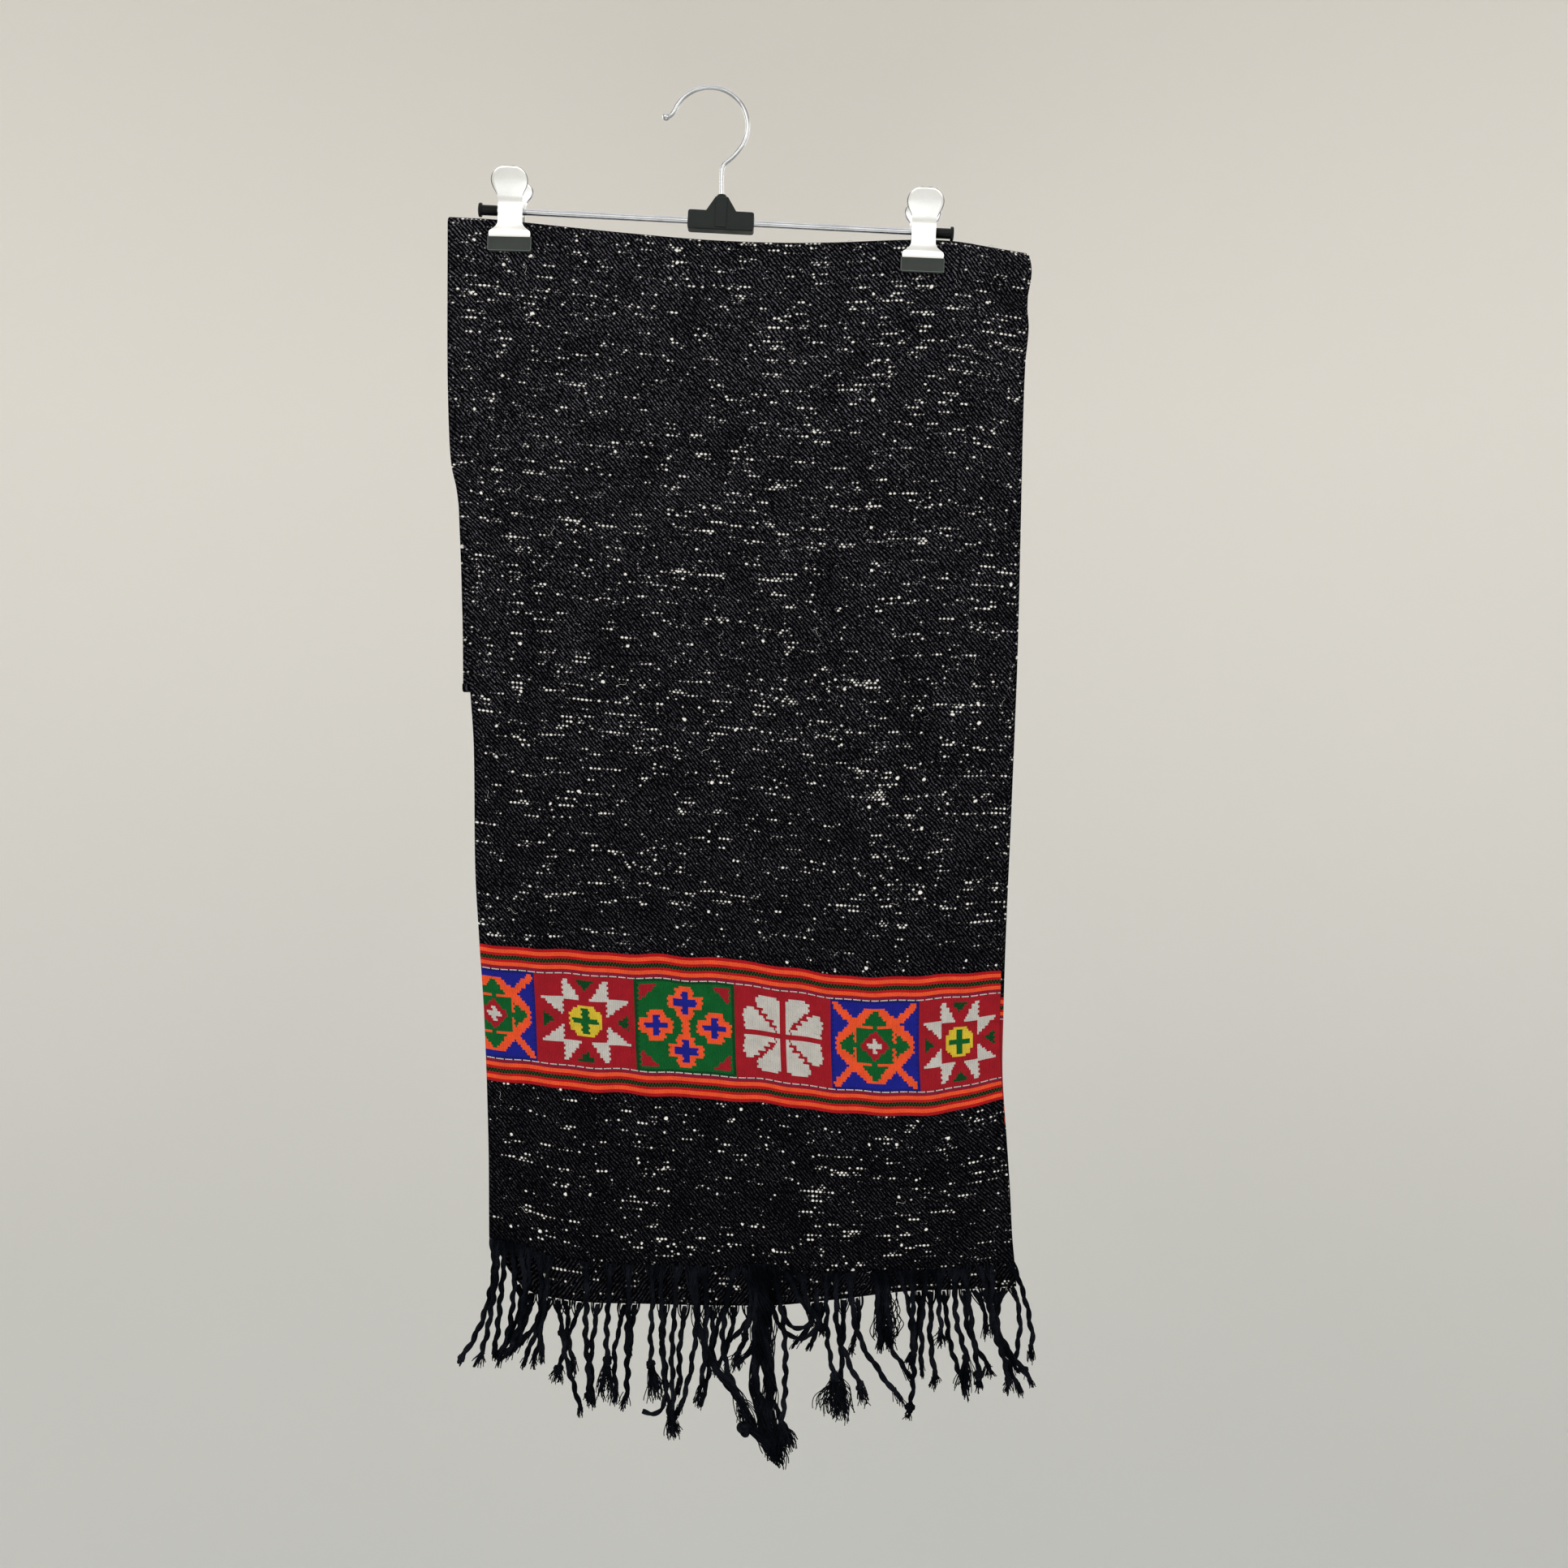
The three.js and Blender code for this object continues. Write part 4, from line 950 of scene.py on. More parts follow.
def strand_path(row, layer, lane):
    """A strand's middle line as a function of the share of its length."""
    root, length, lean, bow = row
    away = 1 if layer else -1
    root_depth = away * 0.55 - (TURN_DEPTH + (-TURN if layer else TURN))
    lane_depth = root_depth + away * (FIRST_LANE + lane * LANE_PITCH)
    top = float(hem_level(np.array(float(root)), layer))

    def line(t):
        t = np.asarray(t, float)
        settle = eased(t * length, 0, 14)
        x = root + lean * t + bow * np.sin(np.pi * t)
        x = x + 0.5 * np.sin(3 * np.pi * t) * eased(t, 0, 0.3)
        y = float(sway(root, top)) + root_depth + (lane_depth - root_depth) * settle
        z = top - STRIP_GAP - 0.6 - length * t
        return np.stack([x, y + 0 * t, z], axis=-1)

    return line


def in_lanes(rows, layer):
    """Each strand's line, in the first lane where it passes clear of the others."""
    shares = np.linspace(0, 1, 25)
    lanes, lines = [], []
    for row in rows:
        seen = strand_path(row, layer, 0)(shares)[:, [0, 2]]
        lane = 0
        while lane < len(lanes) and any(
            np.hypot(*(seen[:, None] - other[None]).transpose(2, 0, 1)).min() <= LANE_CLEARANCE
            for other in lanes[lane]
        ):
            lane += 1
        if lane == len(lanes):
            lanes.append([])
        lanes[lane].append(seen)
        lines.append(strand_path(row, layer, lane))
    return lines


strand_lines = {
    "front": in_lanes(FRONT_STRANDS, 0),
    "under": in_lanes(UNDER_STRANDS, 1),
}
print(len(FRONT_STRANDS), "front strands,", len(UNDER_STRANDS), "under strands")

# %% [markdown]
# Knots and frayed ends come from a second table: the strand, where its knot sits, where its
# threads come apart, how long they are, how far they spread, and how many there are. All
# other strands end in a short brush.

# %% Knots and frayed ends
# Layer, strand, knot (share of the length or None), fray start, length, spread, threads
ENDS = [
    ("front", 0, 0.98, 1.0, 3, 0.4, 8), ("front", 1, None, 0.94, 8, 0.5, 12),
    ("front", 7, None, 0.95, 7, 0.6, 12), ("under", 6, 0.97, 1.0, 10, 0.9, 16),
    ("under", 4, 0.30, 0.96, 6, 0.4, 8), ("front", 8, 0.97, 1.0, 5, 0.6, 12),
    ("front", 9, 0.70, 0.72, 26, 0.28, 30), ("front", 10, None, 0.94, 9, 0.5, 14),
    ("front", 11, 0.72, 0.74, 25, 0.28, 26), ("front", 12, None, 0.93, 12, 0.6, 22),
    ("front", 13, None, 0.95, 10, 0.8, 16), ("front", 17, 0.70, 0.9, 12, 0.7, 20),
    ("under", 13, None, 0.92, 12, 0.55, 26), ("front", 18, None, 0.80, 20, 0.35, 34),
    ("front", 19, None, 0.82, 18, 0.35, 28), ("front", 20, None, 0.84, 16, 0.4, 26),
    ("under", 16, None, 0.9, 14, 0.5, 22), ("front", 22, 0.95, 1.0, 5, 0.7, 10),
    ("front", 23, 0.72, 0.74, 26, 0.62, 40), ("under", 19, 0.80, 0.82, 18, 0.5, 24),
    ("front", 24, 0.88, 0.9, 12, 0.6, 18), ("front", 25, None, 0.94, 8, 0.5, 12),
    ("under", 20, None, 0.9, 7, 0.8, 14), ("front", 27, None, 0.86, 10, 0.8, 22),
    ("front", 28, 0.96, 1.0, 5, 0.8, 14), ("under", 23, None, 0.92, 9, 0.7, 16),
    ("front", 31, None, 0.88, 8, 0.8, 18), ("front", 32, 0.93, 0.95, 22, 0.3, 26),
    ("front", 33, 0.86, 0.9, 9, 0.5, 14), ("under", 25, None, 0.92, 8, 0.7, 14),
    ("front", 34, 0.96, 1.0, 7, 0.8, 16), ("under", 28, 0.84, 0.95, 7, 0.5, 12),
    ("front", 35, None, 0.9, 6, 0.7, 12),
]
# Tresses that have lost their twist: across, depth, height and half width of each point;
# then turns, wave and threads
TRESSES = [
    ([(38, -4.6, -798, 8), (38, -7, -816, 7.5), (38.5, -8, -838, 5.5), (39.5, -9, -858, 3.8),
      (41.5, -9.5, -880, 3.4), (39.5, -9, -899, 4.2), (41.5, -9, -914, 5.4),
      (45.5, -8.5, -926, 5.2), (49.5, -8, -938, 2.6)], 1.6, 0.5, 58),
    ([(33, -4.6, -798, 7), (33.5, -6.5, -818, 6), (34, -7, -840, 4.6), (33, -7.5, -858, 3),
      (30, -8, -879, 2), (34.5, -8, -898, 2.8), (37, -8, -912, 4.2), (43, -7.5, -926, 4.2),
      (47, -7, -934, 2.6)], 1.4, 0.5, 40),
    ([(-12, -4.8, -800, 2.4), (-10, -7, -818, 2), (-7, -8, -839, 2), (3.4, -8.5, -866, 2),
      (15.3, -9, -879, 2.4), (23.7, -9.5, -893, 3.8), (27, -9.5, -905, 4.2),
      (37.8, -9, -919, 3), (46, -8.5, -932, 2.2)], 2.2, 0.6, 34),
    ([(33, -7, -842, 2.6), (29, -9, -853, 2.4), (22, -9.5, -861, 2.6),
      (16.5, -9.5, -867.5, 2)], 0.5, 0.3, 26),
    ([(43, -9, -903, 1.5), (49, -8.5, -909, 2.4), (54.5, -8, -915, 3.2),
      (57, -8, -922.5, 3.4)], 0.3, 0.6, 8),
    ([(118, -5, -806, 6), (119, -8, -824, 6), (119, -9, -842, 7.5), (118, -8.5, -853, 5)],
     0.5, 1.0, 44),
]
# Strands that loop back up to the hem, and a tip that curls aside: their points
LOOPS = [
    [(42, -7, -822), (46, -7.6, -836), (54, -8.0, -845), (63, -8.2, -847.5), (71, -8.0, -842),
     (74.5, -7.6, -832), (72, -7, -818)],
    [(50, -6.5, -826), (53, -6.8, -837), (59, -7, -841), (68, -7, -838), (72, -6.8, -828),
     (73, -6.5, -815)],
    [(-30, -8, -886), (-32, -8.5, -895), (-38, -8.5, -898.5), (-45, -8.5, -896.5)],
]
SNARL = (24, -9.5, -908)


def knot_loop(middle, size):
    """A trefoil, the shape of an overhand knot, turned at random."""
    t = np.linspace(0, 2 * np.pi, 44, endpoint=False)
    loop = np.stack([
        np.sin(t) + 2 * np.sin(2 * t), np.cos(t) - 2 * np.cos(2 * t), -1.2 * np.sin(3 * t),
    ], axis=1) * size
    turn = Matrix.Rotation(chance.uniform(0, 6.3), 3, "Z") @ Matrix.Rotation(
        1.57 + chance.uniform(-0.5, 0.5), 3, "X")
    return loop @ np.array(turn).T + middle


def tress(row, width_at, turns, wave):
    """One thread of a tress: it keeps its side of the bundle while the bundle slowly turns."""
    count = len(row)
    t = np.linspace(0, 1, count)
    side, near = chance.normal(0, 0.55, 2)
    angle = turns * 2 * np.pi * t
    across = side * np.cos(angle) - near * np.sin(angle)
    deep = side * np.sin(angle) + near * np.cos(angle)
    own_wave = np.sin(t * chance.uniform(14, 30) + chance.uniform(0, 6)) * wave * eased(t, 0, 0.2)
    moved = row + np.stack([across * width_at + own_wave, 0.45 * deep * width_at, 0 * t], axis=1)
    return moved[:int(count * chance.uniform(0.87, 1.0))]


def loose_thread(start, heading, length, curl):
    """A fine thread that leaves a point, curls and sinks under its weight."""
    count = max(5, int(length / 1.6))
    heading = np.array(heading, float)
    points = [np.array(start, float)]
    phase = chance.uniform(0, 6.3, 3)
    for i in range(count):
        t = i / count
        bend = np.sin(phase + t * chance.uniform(3, 7)) * curl
        bend[1] *= 0.4
        heading = heading + bend + np.array([0, 0, -0.10])
        heading = heading / np.linalg.norm(heading)
        points.append(points[-1] + heading * length / count)
    return np.array(points)


def smooth_run(points, step):
    """A smooth run through a few points, with a new point at each step."""
    points = np.array(points, float)
    reach = np.linalg.norm(np.diff(points[:, :3], axis=0), axis=1)
    along = np.concatenate([[0], np.cumsum(reach)])
    at = np.linspace(0, along[-1], int(along[-1] / step) + 1)
    lines = [line_through(np.stack([along, column], axis=1)) for column in points.T]
    return np.stack([line(at) for line in lines], axis=1)


def strand_points(line, length, stop):
    """A strand's points with a little curl of their own, down to where it frays."""
    count = int(length * stop / 1.5) + 2
    t = np.linspace(0, stop, count)
    points = line(t)
    wave = eased(t * length, 4, 30)[:, None]
    period = chance.uniform(11, 19)
    phase = chance.uniform(0, 6.3, 2)
    turn = t * length / period * 2 * np.pi
    curl = np.stack([np.sin(turn + phase[0]) * 0.65, np.sin(turn * 1.3 + phase[1]) * 0.3,
                     0 * turn], axis=1)
    return points + wave * curl


ROOT_OFFSETS = (-4.4, -3.2, -2.2, 2.0, 3.0, 4.2)
HEM_REACH = (-148.6, 205.5)
FRAYED_HEM = (-8, 16)
FRAYED_HEM_THREADS = 46
THREADS_FACTOR = 2.4


def frayed_end(points, fray, spread, threads):
    """The threads that leave a strand's last points, with their girth."""
    down = points[-1] - points[-3]
    down = down / np.linalg.norm(down)
    for _ in range(int(threads * THREADS_FACTOR)):
        start = points[-1 - chance.integers(0, 4)] + chance.normal(0, 0.85, 3)
        heading = down + chance.normal(0, spread * 0.5, 3) * (1, 0.45, 0.6)
        reach = fray * chance.uniform(0.6, 1.1)
        yield loose_thread(start, heading, reach, 0.04 + 0.22 * spread), 0.36


def root_threads(root, line, length, layer):
    """The warp threads that run together from the hem into a strand's root."""
    for offset in ROOT_OFFSETS:
        t = np.linspace(0, 1, 7)[:, None]
        base_x = np.clip(root[0] + offset * chance.uniform(0.8, 1.1), *HEM_REACH)
        base_z = float(hem_level(base_x, float(layer))) + 1.2
        base = np.array([base_x, root[1] - (0.55 if layer else -0.55), base_z])
        join = line(chance.uniform(8, 13) / length)
        path = base + (join - base) * t
        path[:, 0] += offset * 0.35 * np.sin(np.pi * t[:, 0])
        yield path, 0.5


strand_runs, knot_runs, fine_runs = [{"front": [], "under": []} for _ in range(3)]
ends = {(side, i): row for side, i, *row in ENDS}
for layer, (side, rows) in enumerate((("front", FRONT_STRANDS), ("under", UNDER_STRANDS))):
    for i, (row, line) in enumerate(zip(rows, strand_lines[side])):
        plain_end = (None, 0.93, chance.uniform(6, 10), 0.16, 14)
        knot, stop, fray, spread, threads = ends.get((side, i), plain_end)
        points = strand_points(line, row[1], stop)
        t = np.linspace(0, 1, len(points))
        girth = chance.uniform(0.88, 1.1) * (0.8 + 0.2 * eased(t, 0, 0.3))
        strand_runs[side].append((points, girth * (1 - 0.3 * eased(t, 0.94, 1))))
        if knot:
            knot_runs[side].append(knot_loop(line(knot), 0.74))
        fine_runs[side] += frayed_end(points, fray, spread, threads)
        fine_runs[side] += root_threads(points[0], line, row[1], layer)
for points, turns, wave, threads in TRESSES:
    run = smooth_run(points, 1.6)
    fine_runs["front"] += [(tress(run[:, :3], run[:, 3], turns, wave), 0.42)
                           for _ in range(threads)]
strand_runs["front"] += [(smooth_run(loop, 1.5), 0.85) for loop in LOOPS]
knot_runs["front"].append(knot_loop(np.array(SNARL), 1.4))
for _ in range(FRAYED_HEM_THREADS):
    x = chance.uniform(*FRAYED_HEM)
    start = (x, TURN_DEPTH - TURN - 7.1, float(hem_level(x, 1.0)) + 0.5)
    heading = (chance.normal(0, 0.5), -0.2, -1)
    reach = chance.uniform(5, 12)
    fine_runs["under"].append((loose_thread(start, heading, reach, 0.3), 0.28))
print(len(fine_runs["front"]) + len(fine_runs["under"]), "loose threads")

# %% [markdown]
# Two soft plies twist lazily round each other in every strand, a turn in 16.5 mm. This is a
# rule along a path, so Geometry Nodes make it: each path is doubled, each copy is moved out to
# one side of the path by an angle that grows with the length, and a small circle is swept
# along it. Fine threads use the same tree with no twist. Its result is made a plain mesh.

# %% Geometry Nodes: plied yarn
def open_tree(name, **sockets):
    """A Geometry Nodes tree and its inputs: a geometry, the named ones and a material."""
    tree = bpy.data.node_groups.new(name, "GeometryNodeTree")
    for socket, kind in {"geometry": "Geometry", **sockets, "material": "Material"}.items():
        tree.interface.new_socket(socket.replace("_", " ").title(), in_out="INPUT",
                                  socket_type="NodeSocket" + kind)
    tree.interface.new_socket("Geometry", in_out="OUTPUT", socket_type="NodeSocketGeometry")
    return tree, add(tree, "NodeGroupInput").outputs


def close_tree(tree, geometry, material):
    """Ends a tree: the geometry is made real and takes its material."""
    real = add(tree, "GeometryNodeRealizeInstances", geometry)
    finish = add(tree, "GeometryNodeSetMaterial", {"Geometry": real, "Material": material})
    add(tree, "NodeGroupOutput", finish)
    return tree


def plied_yarn_tree():
    tree, given = open_tree("plied yarn", plies="Int", ply_radius="Float", twist_radius="Float",
                            twist_length="Float", step="Float", sides="Int")
    path = add(tree, "GeometryNodeMeshToCurve", given["Geometry"])
    stepped = add(tree, "GeometryNodeResampleCurve", {"Curve": path, "Length": given["Step"]},
                  mode="LENGTH")
    plies = add(tree, "GeometryNodeDuplicateElements",
                {"Geometry": stepped, "Amount": given["Plies"]}, domain="SPLINE")
    along = add(tree, "GeometryNodeSplineParameter").outputs["Length"]
    turns = add(tree, "Math DIVIDE", along, given["Twist Length"])
    shared = add(tree, "Math DIVIDE", plies.outputs["Duplicate Index"], given["Plies"])
    whole = add(tree, "Math ADD", turns, shared)
    angle = add(tree, "Math MULTIPLY", whole, 2 * math.pi)
    side = add(tree, "GeometryNodeInputNormal")
    ahead = add(tree, "GeometryNodeInputTangent")
    over = add(tree, "VectorMath CROSS_PRODUCT", ahead, side)
    cosine = add(tree, "Math COSINE", angle)
    sine = add(tree, "Math SINE", angle)
    to_side = add(tree, "VectorMath SCALE", {0: side, "Scale": cosine})
    to_top = add(tree, "VectorMath SCALE", {0: over, "Scale": sine})
    round_path = add(tree, "VectorMath ADD", to_side, to_top)
    moved = add(tree, "VectorMath SCALE", {0: round_path, "Scale": given["Twist Radius"]})
    placed = add(tree, "GeometryNodeSetPosition", {"Geometry": plies, "Offset": moved})
    girth = add(tree, "GeometryNodeInputNamedAttribute", {"Name": "girth"},
                data_type="FLOAT").outputs["Attribute"]
    ring = add(tree, "GeometryNodeCurvePrimitiveCircle",
               {"Resolution": given["Sides"], "Radius": given["Ply Radius"]}, mode="RADIUS")
    tube = add(tree, "GeometryNodeCurveToMesh",
               {"Curve": placed, "Profile Curve": ring, "Scale": girth, "Fill Caps": True})
    smooth = add(tree, "GeometryNodeSetShadeSmooth", tube)
    return close_tree(tree, smooth, given["Material"])


PLIED_YARN = plied_yarn_tree()


def plain_mesh(carrier, nodes, settings, name):
    """Sets the node modifier's inputs and keeps its result as a new piece."""
    for socket in nodes.node_group.interface.items_tree:
        setting = socket.name.lower().replace(" ", "_")
        if socket.in_out == "INPUT" and setting in settings:
            nodes[socket.identifier] = settings[setting]
    bpy.context.view_layer.update()
    ready = carrier.evaluated_get(bpy.context.evaluated_depsgraph_get())
    piece = new_object(name, bpy.data.meshes.new_from_object(ready))
    piece.data.name = name
    bpy.data.objects.remove(carrier)
    return piece


def swept(name, runs, material, closed=(), **sizes):
    """A mesh swept along runs of points in millimetres, by the plied yarn tree."""
    points, edges, girths = [], [], []
    for run, girth, loop in [(r, 1.0, False) for r in runs] + [(r, 1.0, True) for r in closed]:
        if isinstance(run, tuple):
            run, girth = run
        first = len(points)
        points.extend(run)
        girths.extend(np.broadcast_to(girth, len(run)))
        edges += [(first + i, first + i + 1) for i in range(len(run) - 1)]
        if loop:
            edges.append((first + len(run) - 1, first))
    mesh = bpy.data.meshes.new(name + "_path")
    mesh.from_pydata([tuple(c * MM for c in p) for p in points], edges, [])
    mesh.attributes.new("girth", "FLOAT", "POINT").data.foreach_set("value", girths)
    path = new_object(name + "_path", mesh)
    nodes = modify(path, "yarn", "NODES", node_group=PLIED_YARN)
    sizes = {"plies": 1, "twist_radius": 0.0, "twist_length": 1.0, "step": 0.001, "sides": 6,
             "material": material, **sizes}
    return plain_mesh(path, nodes, sizes, name)


# %% [markdown]
# The fringe's wool is the ground's black warp: matt, with a bluish cast in its depth and a
# faint grey bloom of fibre ends.

# %% Material: black warp yarn
def warp_yarn():
    material, tree, shader = new_material("black worsted warp yarn")
    place = add(tree, "TexCoord").outputs["Object"]
    fibre = add(tree, "TexNoise", {"Vector": place, "Scale": 1400.0, "Detail": 3.0})
    patch = add(tree, "TexNoise", {"Vector": place, "Scale": 60.0, "Detail": 2.0})
    mixed = add(tree, "Math MULTIPLY", fibre, patch)
    bloom = add(tree, "MapRange", mixed, 0.18, 0.5)
    colour = add(tree, "Mix RGBA", {"Factor": bloom, "A": "#04060A", "B": "#1D2028"})
    bump = add(tree, "Bump", {"Height": fibre, "Distance": 0.0003, "Strength": 0.6})
    feed(tree, shader, {"Base Color": colour, "Normal": bump, "Roughness": 0.95,
                        "Specular IOR Level": 0.03})
    return material


yarn = warp_yarn()
fringe_pieces = {}
for side in ("front", "under"):
    strands = swept(side + "_fringe_strands", strand_runs[side], yarn, knot_runs[side],
                    plies=2, ply_radius=0.00138, twist_radius=0.0006, twist_length=0.0165,
                    step=0.0011, sides=9)
    threads = swept(side + "_fringe_threads", fine_runs[side], yarn, ply_radius=MM,
                    step=0.0016, sides=3)
    dress(strands, "fringe_yarn", side + "_fringe")
    dress(threads, "fringe_yarn")
    fringe_pieces[side] = [strands, threads]
    print(side, "fringe", len(strands.data.polygons), "+", len(threads.data.polygons), "faces")

# %% [markdown]
# ## Stray fibres
# Handspun wool sheds. Fine dark hairs stand off the nap and blur the cloth's edges, and a few
# white ones, pulled out of the slubs, lie on it in curls. Geometry Nodes strew them over the
# cloth's surface from a fixed seed, each turned about its own point, and make them real mesh.

# %% Geometry Nodes: strewn fibres
def strewn_fibres_tree():
    tree, given = open_tree("strewn fibres", fibre="Object", per_square_metre="Float",
                            seed="Int", smallest="Float", largest="Float")
    spots = add(tree, "GeometryNodeDistributePointsOnFaces", {
        "Mesh": given["Geometry"], "Density": given["Per Square Metre"], "Seed": given["Seed"],
    })
    fibre = add(tree, "GeometryNodeObjectInfo", given["Fibre"])
    spin = add(tree, "FunctionNodeRandomValue", {2: 0.0, 3: 2 * math.pi, "Seed": given["Seed"]})
    about = add(tree, "CombineXYZ", {2: spin})
    facing = add(tree, "FunctionNodeRotateEuler",
                 {0: spots.outputs["Rotation"], "Rotate By": about}, space="LOCAL")
    size = add(tree, "FunctionNodeRandomValue", {2: given["Smallest"], 3: given["Largest"]})
    placed = add(tree, "GeometryNodeInstanceOnPoints", {
        "Points": spots.outputs["Points"], "Instance": fibre.outputs["Geometry"],
        "Rotation": facing, "Scale": size,
    })
    return close_tree(tree, placed, given["Material"])


STREWN_FIBRES = strewn_fibres_tree()


def strewn(name, cloth, fibre_run, thick, material, **settings):
    """Fibres of one curl, strewn over a cloth piece, as a plain mesh of their own."""
    fibre = swept(name + "_one", [fibre_run], material, ply_radius=thick * MM, sides=3)
    bed = cloth.copy()
    bpy.context.collection.objects.link(bed)
    nodes = modify(bed, "fibres", "NODES", node_group=STREWN_FIBRES)
    settings = {"fibre": fibre, "material": material, **settings}
    piece = plain_mesh(bed, nodes, settings, name)
    bpy.data.objects.remove(fibre)
    return piece


def curl_run(length, height, swing):
    """A fibre that lies on the cloth in a soft S and lifts off it in its middle."""
    t = np.linspace(0, 1, 9)
    return np.stack([
        (t - 0.5) * length, swing * np.sin(5.2 * t + 0.6), 0.1 + height * np.sin(np.pi * t),
    ], axis=1)


white_fibre, tree, shader = new_material("undyed wool fibre")
place = add(tree, "TexCoord").outputs["Object"]
shade = add(tree, "TexNoise", {"Vector": place, "Scale": 300.0})
tone = add(tree, "Mix RGBA", {"Factor": shade, "A": "#B9B7B1", "B": "#EFEDE8"})
feed(tree, shader, {"Base Color": tone, "Roughness": 0.8})

fuzz = []
for cloth in (stole_ground, stole_end, stole_border):
    hairs = strewn(cloth.name + "_hairs", cloth, curl_run(3.4, 1.1, 0.5), 0.05, yarn,
                   per_square_metre=1500.0, seed=3, smallest=0.5, largest=1.4)
    dress(hairs, "fringe_yarn")
    fuzz.append(hairs)
for cloth in (stole_ground, stole_end):
    curls = strewn(cloth.name + "_curls", cloth, curl_run(5.5, 0.35, 1.5), 0.09, white_fibre,
                   per_square_metre=210.0, seed=8, smallest=0.4, largest=1.3)
    dress(curls, "wool_twill")
    fuzz.append(curls)
print("stray fibres", sum(len(piece.data.polygons) for piece in fuzz), "faces")

# %% [markdown]
# ## Metals and plastics
# The wire is drawn and plated: a satin grey, with faint lines along it. The clips are pressed
# from sheet and plated bright over the press marks, and show fine grain. The springs are plain
# drawn wire. The caps are moulded in black plastic with a faint texture, the block in a dark
# grey one, and the pads in a softer grey. One function makes all of them, as a tone that
# drifts a little and a roughness that a grain pattern moves up and down.

# %% Materials: metals and plastics
def hard_finish(name, tone, tone_worn, rim, rough, rough_worn, metal, grain, stretch, relief):
    """A metal or plastic whose tone and roughness follow a fine grain, with a little bump.

    Where a mesh has an edge attribute, the tone goes over to the rim's: painted shade along the
    levers' rims, a painted highlight on the pads' frames."""
    material, tree, shader = new_material(name)
    place = add(tree, "TexCoord").outputs["Object"]
    drawn = add(tree, "VectorMath MULTIPLY", place, stretch)
    fine = add(tree, "TexNoise", {"Vector": drawn, "Scale": grain, "Detail": 4.0,
                                  "Roughness": 0.65})
    broad = add(tree, "TexNoise", {"Vector": place, "Scale": 90.0, "Detail": 2.0})
    both = add(tree, "Math MULTIPLY", fine, broad)
    wear = add(tree, "MapRange", both, 0.1, 0.45)
    colour = add(tree, "Mix RGBA", {"Factor": wear, "A": tone, "B": tone_worn})
    # The rim tone is painted light: painted shade on the levers' rims, a painted highlight on the
    # pads' frames.
    edge = add(tree, "Attribute", attribute_name="edge").outputs["Fac"]
    at_edge = add(tree, "MapRange", edge, 0.35, 0.75)
    colour = add(tree, "Mix RGBA", {"Factor": at_edge, "A": colour, "B": rim})
    dull = add(tree, "MapRange", {0: wear, 3: rough, 4: rough_worn})
    bump = add(tree, "Bump", {"Height": fine, "Distance": relief * MM, "Strength": 0.5})
    feed(tree, shader, {"Base Color": colour, "Roughness": dull, "Normal": bump,
                        "Metallic": metal})
    if not metal:
        feed(tree, shader, {"Specular IOR Level": 0.15})
    return material


chrome = hard_finish("satin chromed wire", "#C4C6C9", "#A8AAAE", "#A8AAAE", 0.2, 0.32, 1.0,
                     900.0, (0.05, 1, 1), 0.01)
# The plated steel's rim tone, #6F6C72, is painted shade: a painted darker reflection on the
# levers' rolled rims.
plated = hard_finish("plated pressed steel", "#FAFAF8", "#EFF0EF", "#6F6C72", 0.3, 0.42, 1.0,
                     1500.0, (1, 1, 0.2), 0.02)
spring_wire = hard_finish("drawn spring wire", "#C4C6C8", "#A3A5A8", "#A3A5A8", 0.3, 0.45, 1.0,
                          1500.0, (1, 1, 1), 0.02)
black_plastic = hard_finish("black moulded plastic", "#050506", "#0D0E0F", "#0D0E0F",
                            0.35, 0.55, 0.0, 2200.0, (1, 1, 1), 0.04)
dark_plastic = hard_finish("dark grey moulded plastic", "#161B1A", "#222826", "#222826",
                           0.4, 0.6, 0.0, 2200.0, (1, 1, 1), 0.04)
# The grip's rim tone, #606764, is a painted highlight on the pads' front frames and bevelled
# edges.
grip = hard_finish("grey rubbery plastic", "#343836", "#3E4341", "#606764", 0.6, 0.8, 0.0,
                   1800.0, (1, 1, 1), 0.08)

# %% [markdown]
# ## The hanger
# The rod is one straight drawn bar. It hangs at a small tilt, so everything on it is made
# level and then turned about the middle of the block. Turned parts are made as on a lathe,
# from a profile of distances and radii. The hook is bent wire with a ball pressed on its tip.

# %% Hanger: rod, caps and hook
ROD_TILT = math.radians(2.92)
BLOCK_AT = Vector((7.7, 0, -90.2))


def placed(point, angle):
    """A turn about the Y axis, then a move to a point in metres."""
    return Matrix.Translation(point) @ Matrix.Rotation(angle, 4, "Y")


ON_ROD = placed(BLOCK_AT * MM, ROD_TILT)


def turned(name, profile, material, sides=48):
    """A lathe shape round the X axis. Profile: distance along, radius; poles at both ends."""
    points, faces = [], []
    for along, radius in profile:
        for i in range(sides):
            angle = 2 * math.pi * i / sides
            points.append((along, radius * math.cos(angle), radius * math.sin(angle)))
    for ring in range(len(profile) - 1):
        for i in range(sides):
            a, b = ring * sides + i, ring * sides + (i + 1) % sides
            faces.append((a, b, b + sides, a + sides))
    piece = new_piece(name, points, faces, material)
    mesh = bmesh.new()
    mesh.from_mesh(piece.data)
    bmesh.ops.remove_doubles(mesh, verts=mesh.verts, dist=1e-6)
    bmesh.ops.recalc_face_normals(mesh, faces=mesh.faces)
    mesh.to_mesh(piece.data)
    mesh.free()
    piece.data.set_sharp_from_angle(angle=math.radians(40))
    return piece


rod = turned("chromed_rod", [(-163.8, 0), (-163.8, 2.0), (-163.6, 2.2), (157.1, 2.2),
                             (157.3, 2.0), (157.3, 0)], chrome)
rod.data.transform(ON_ROD)
dress(rod, "chromed_wire", "hanger_rod")

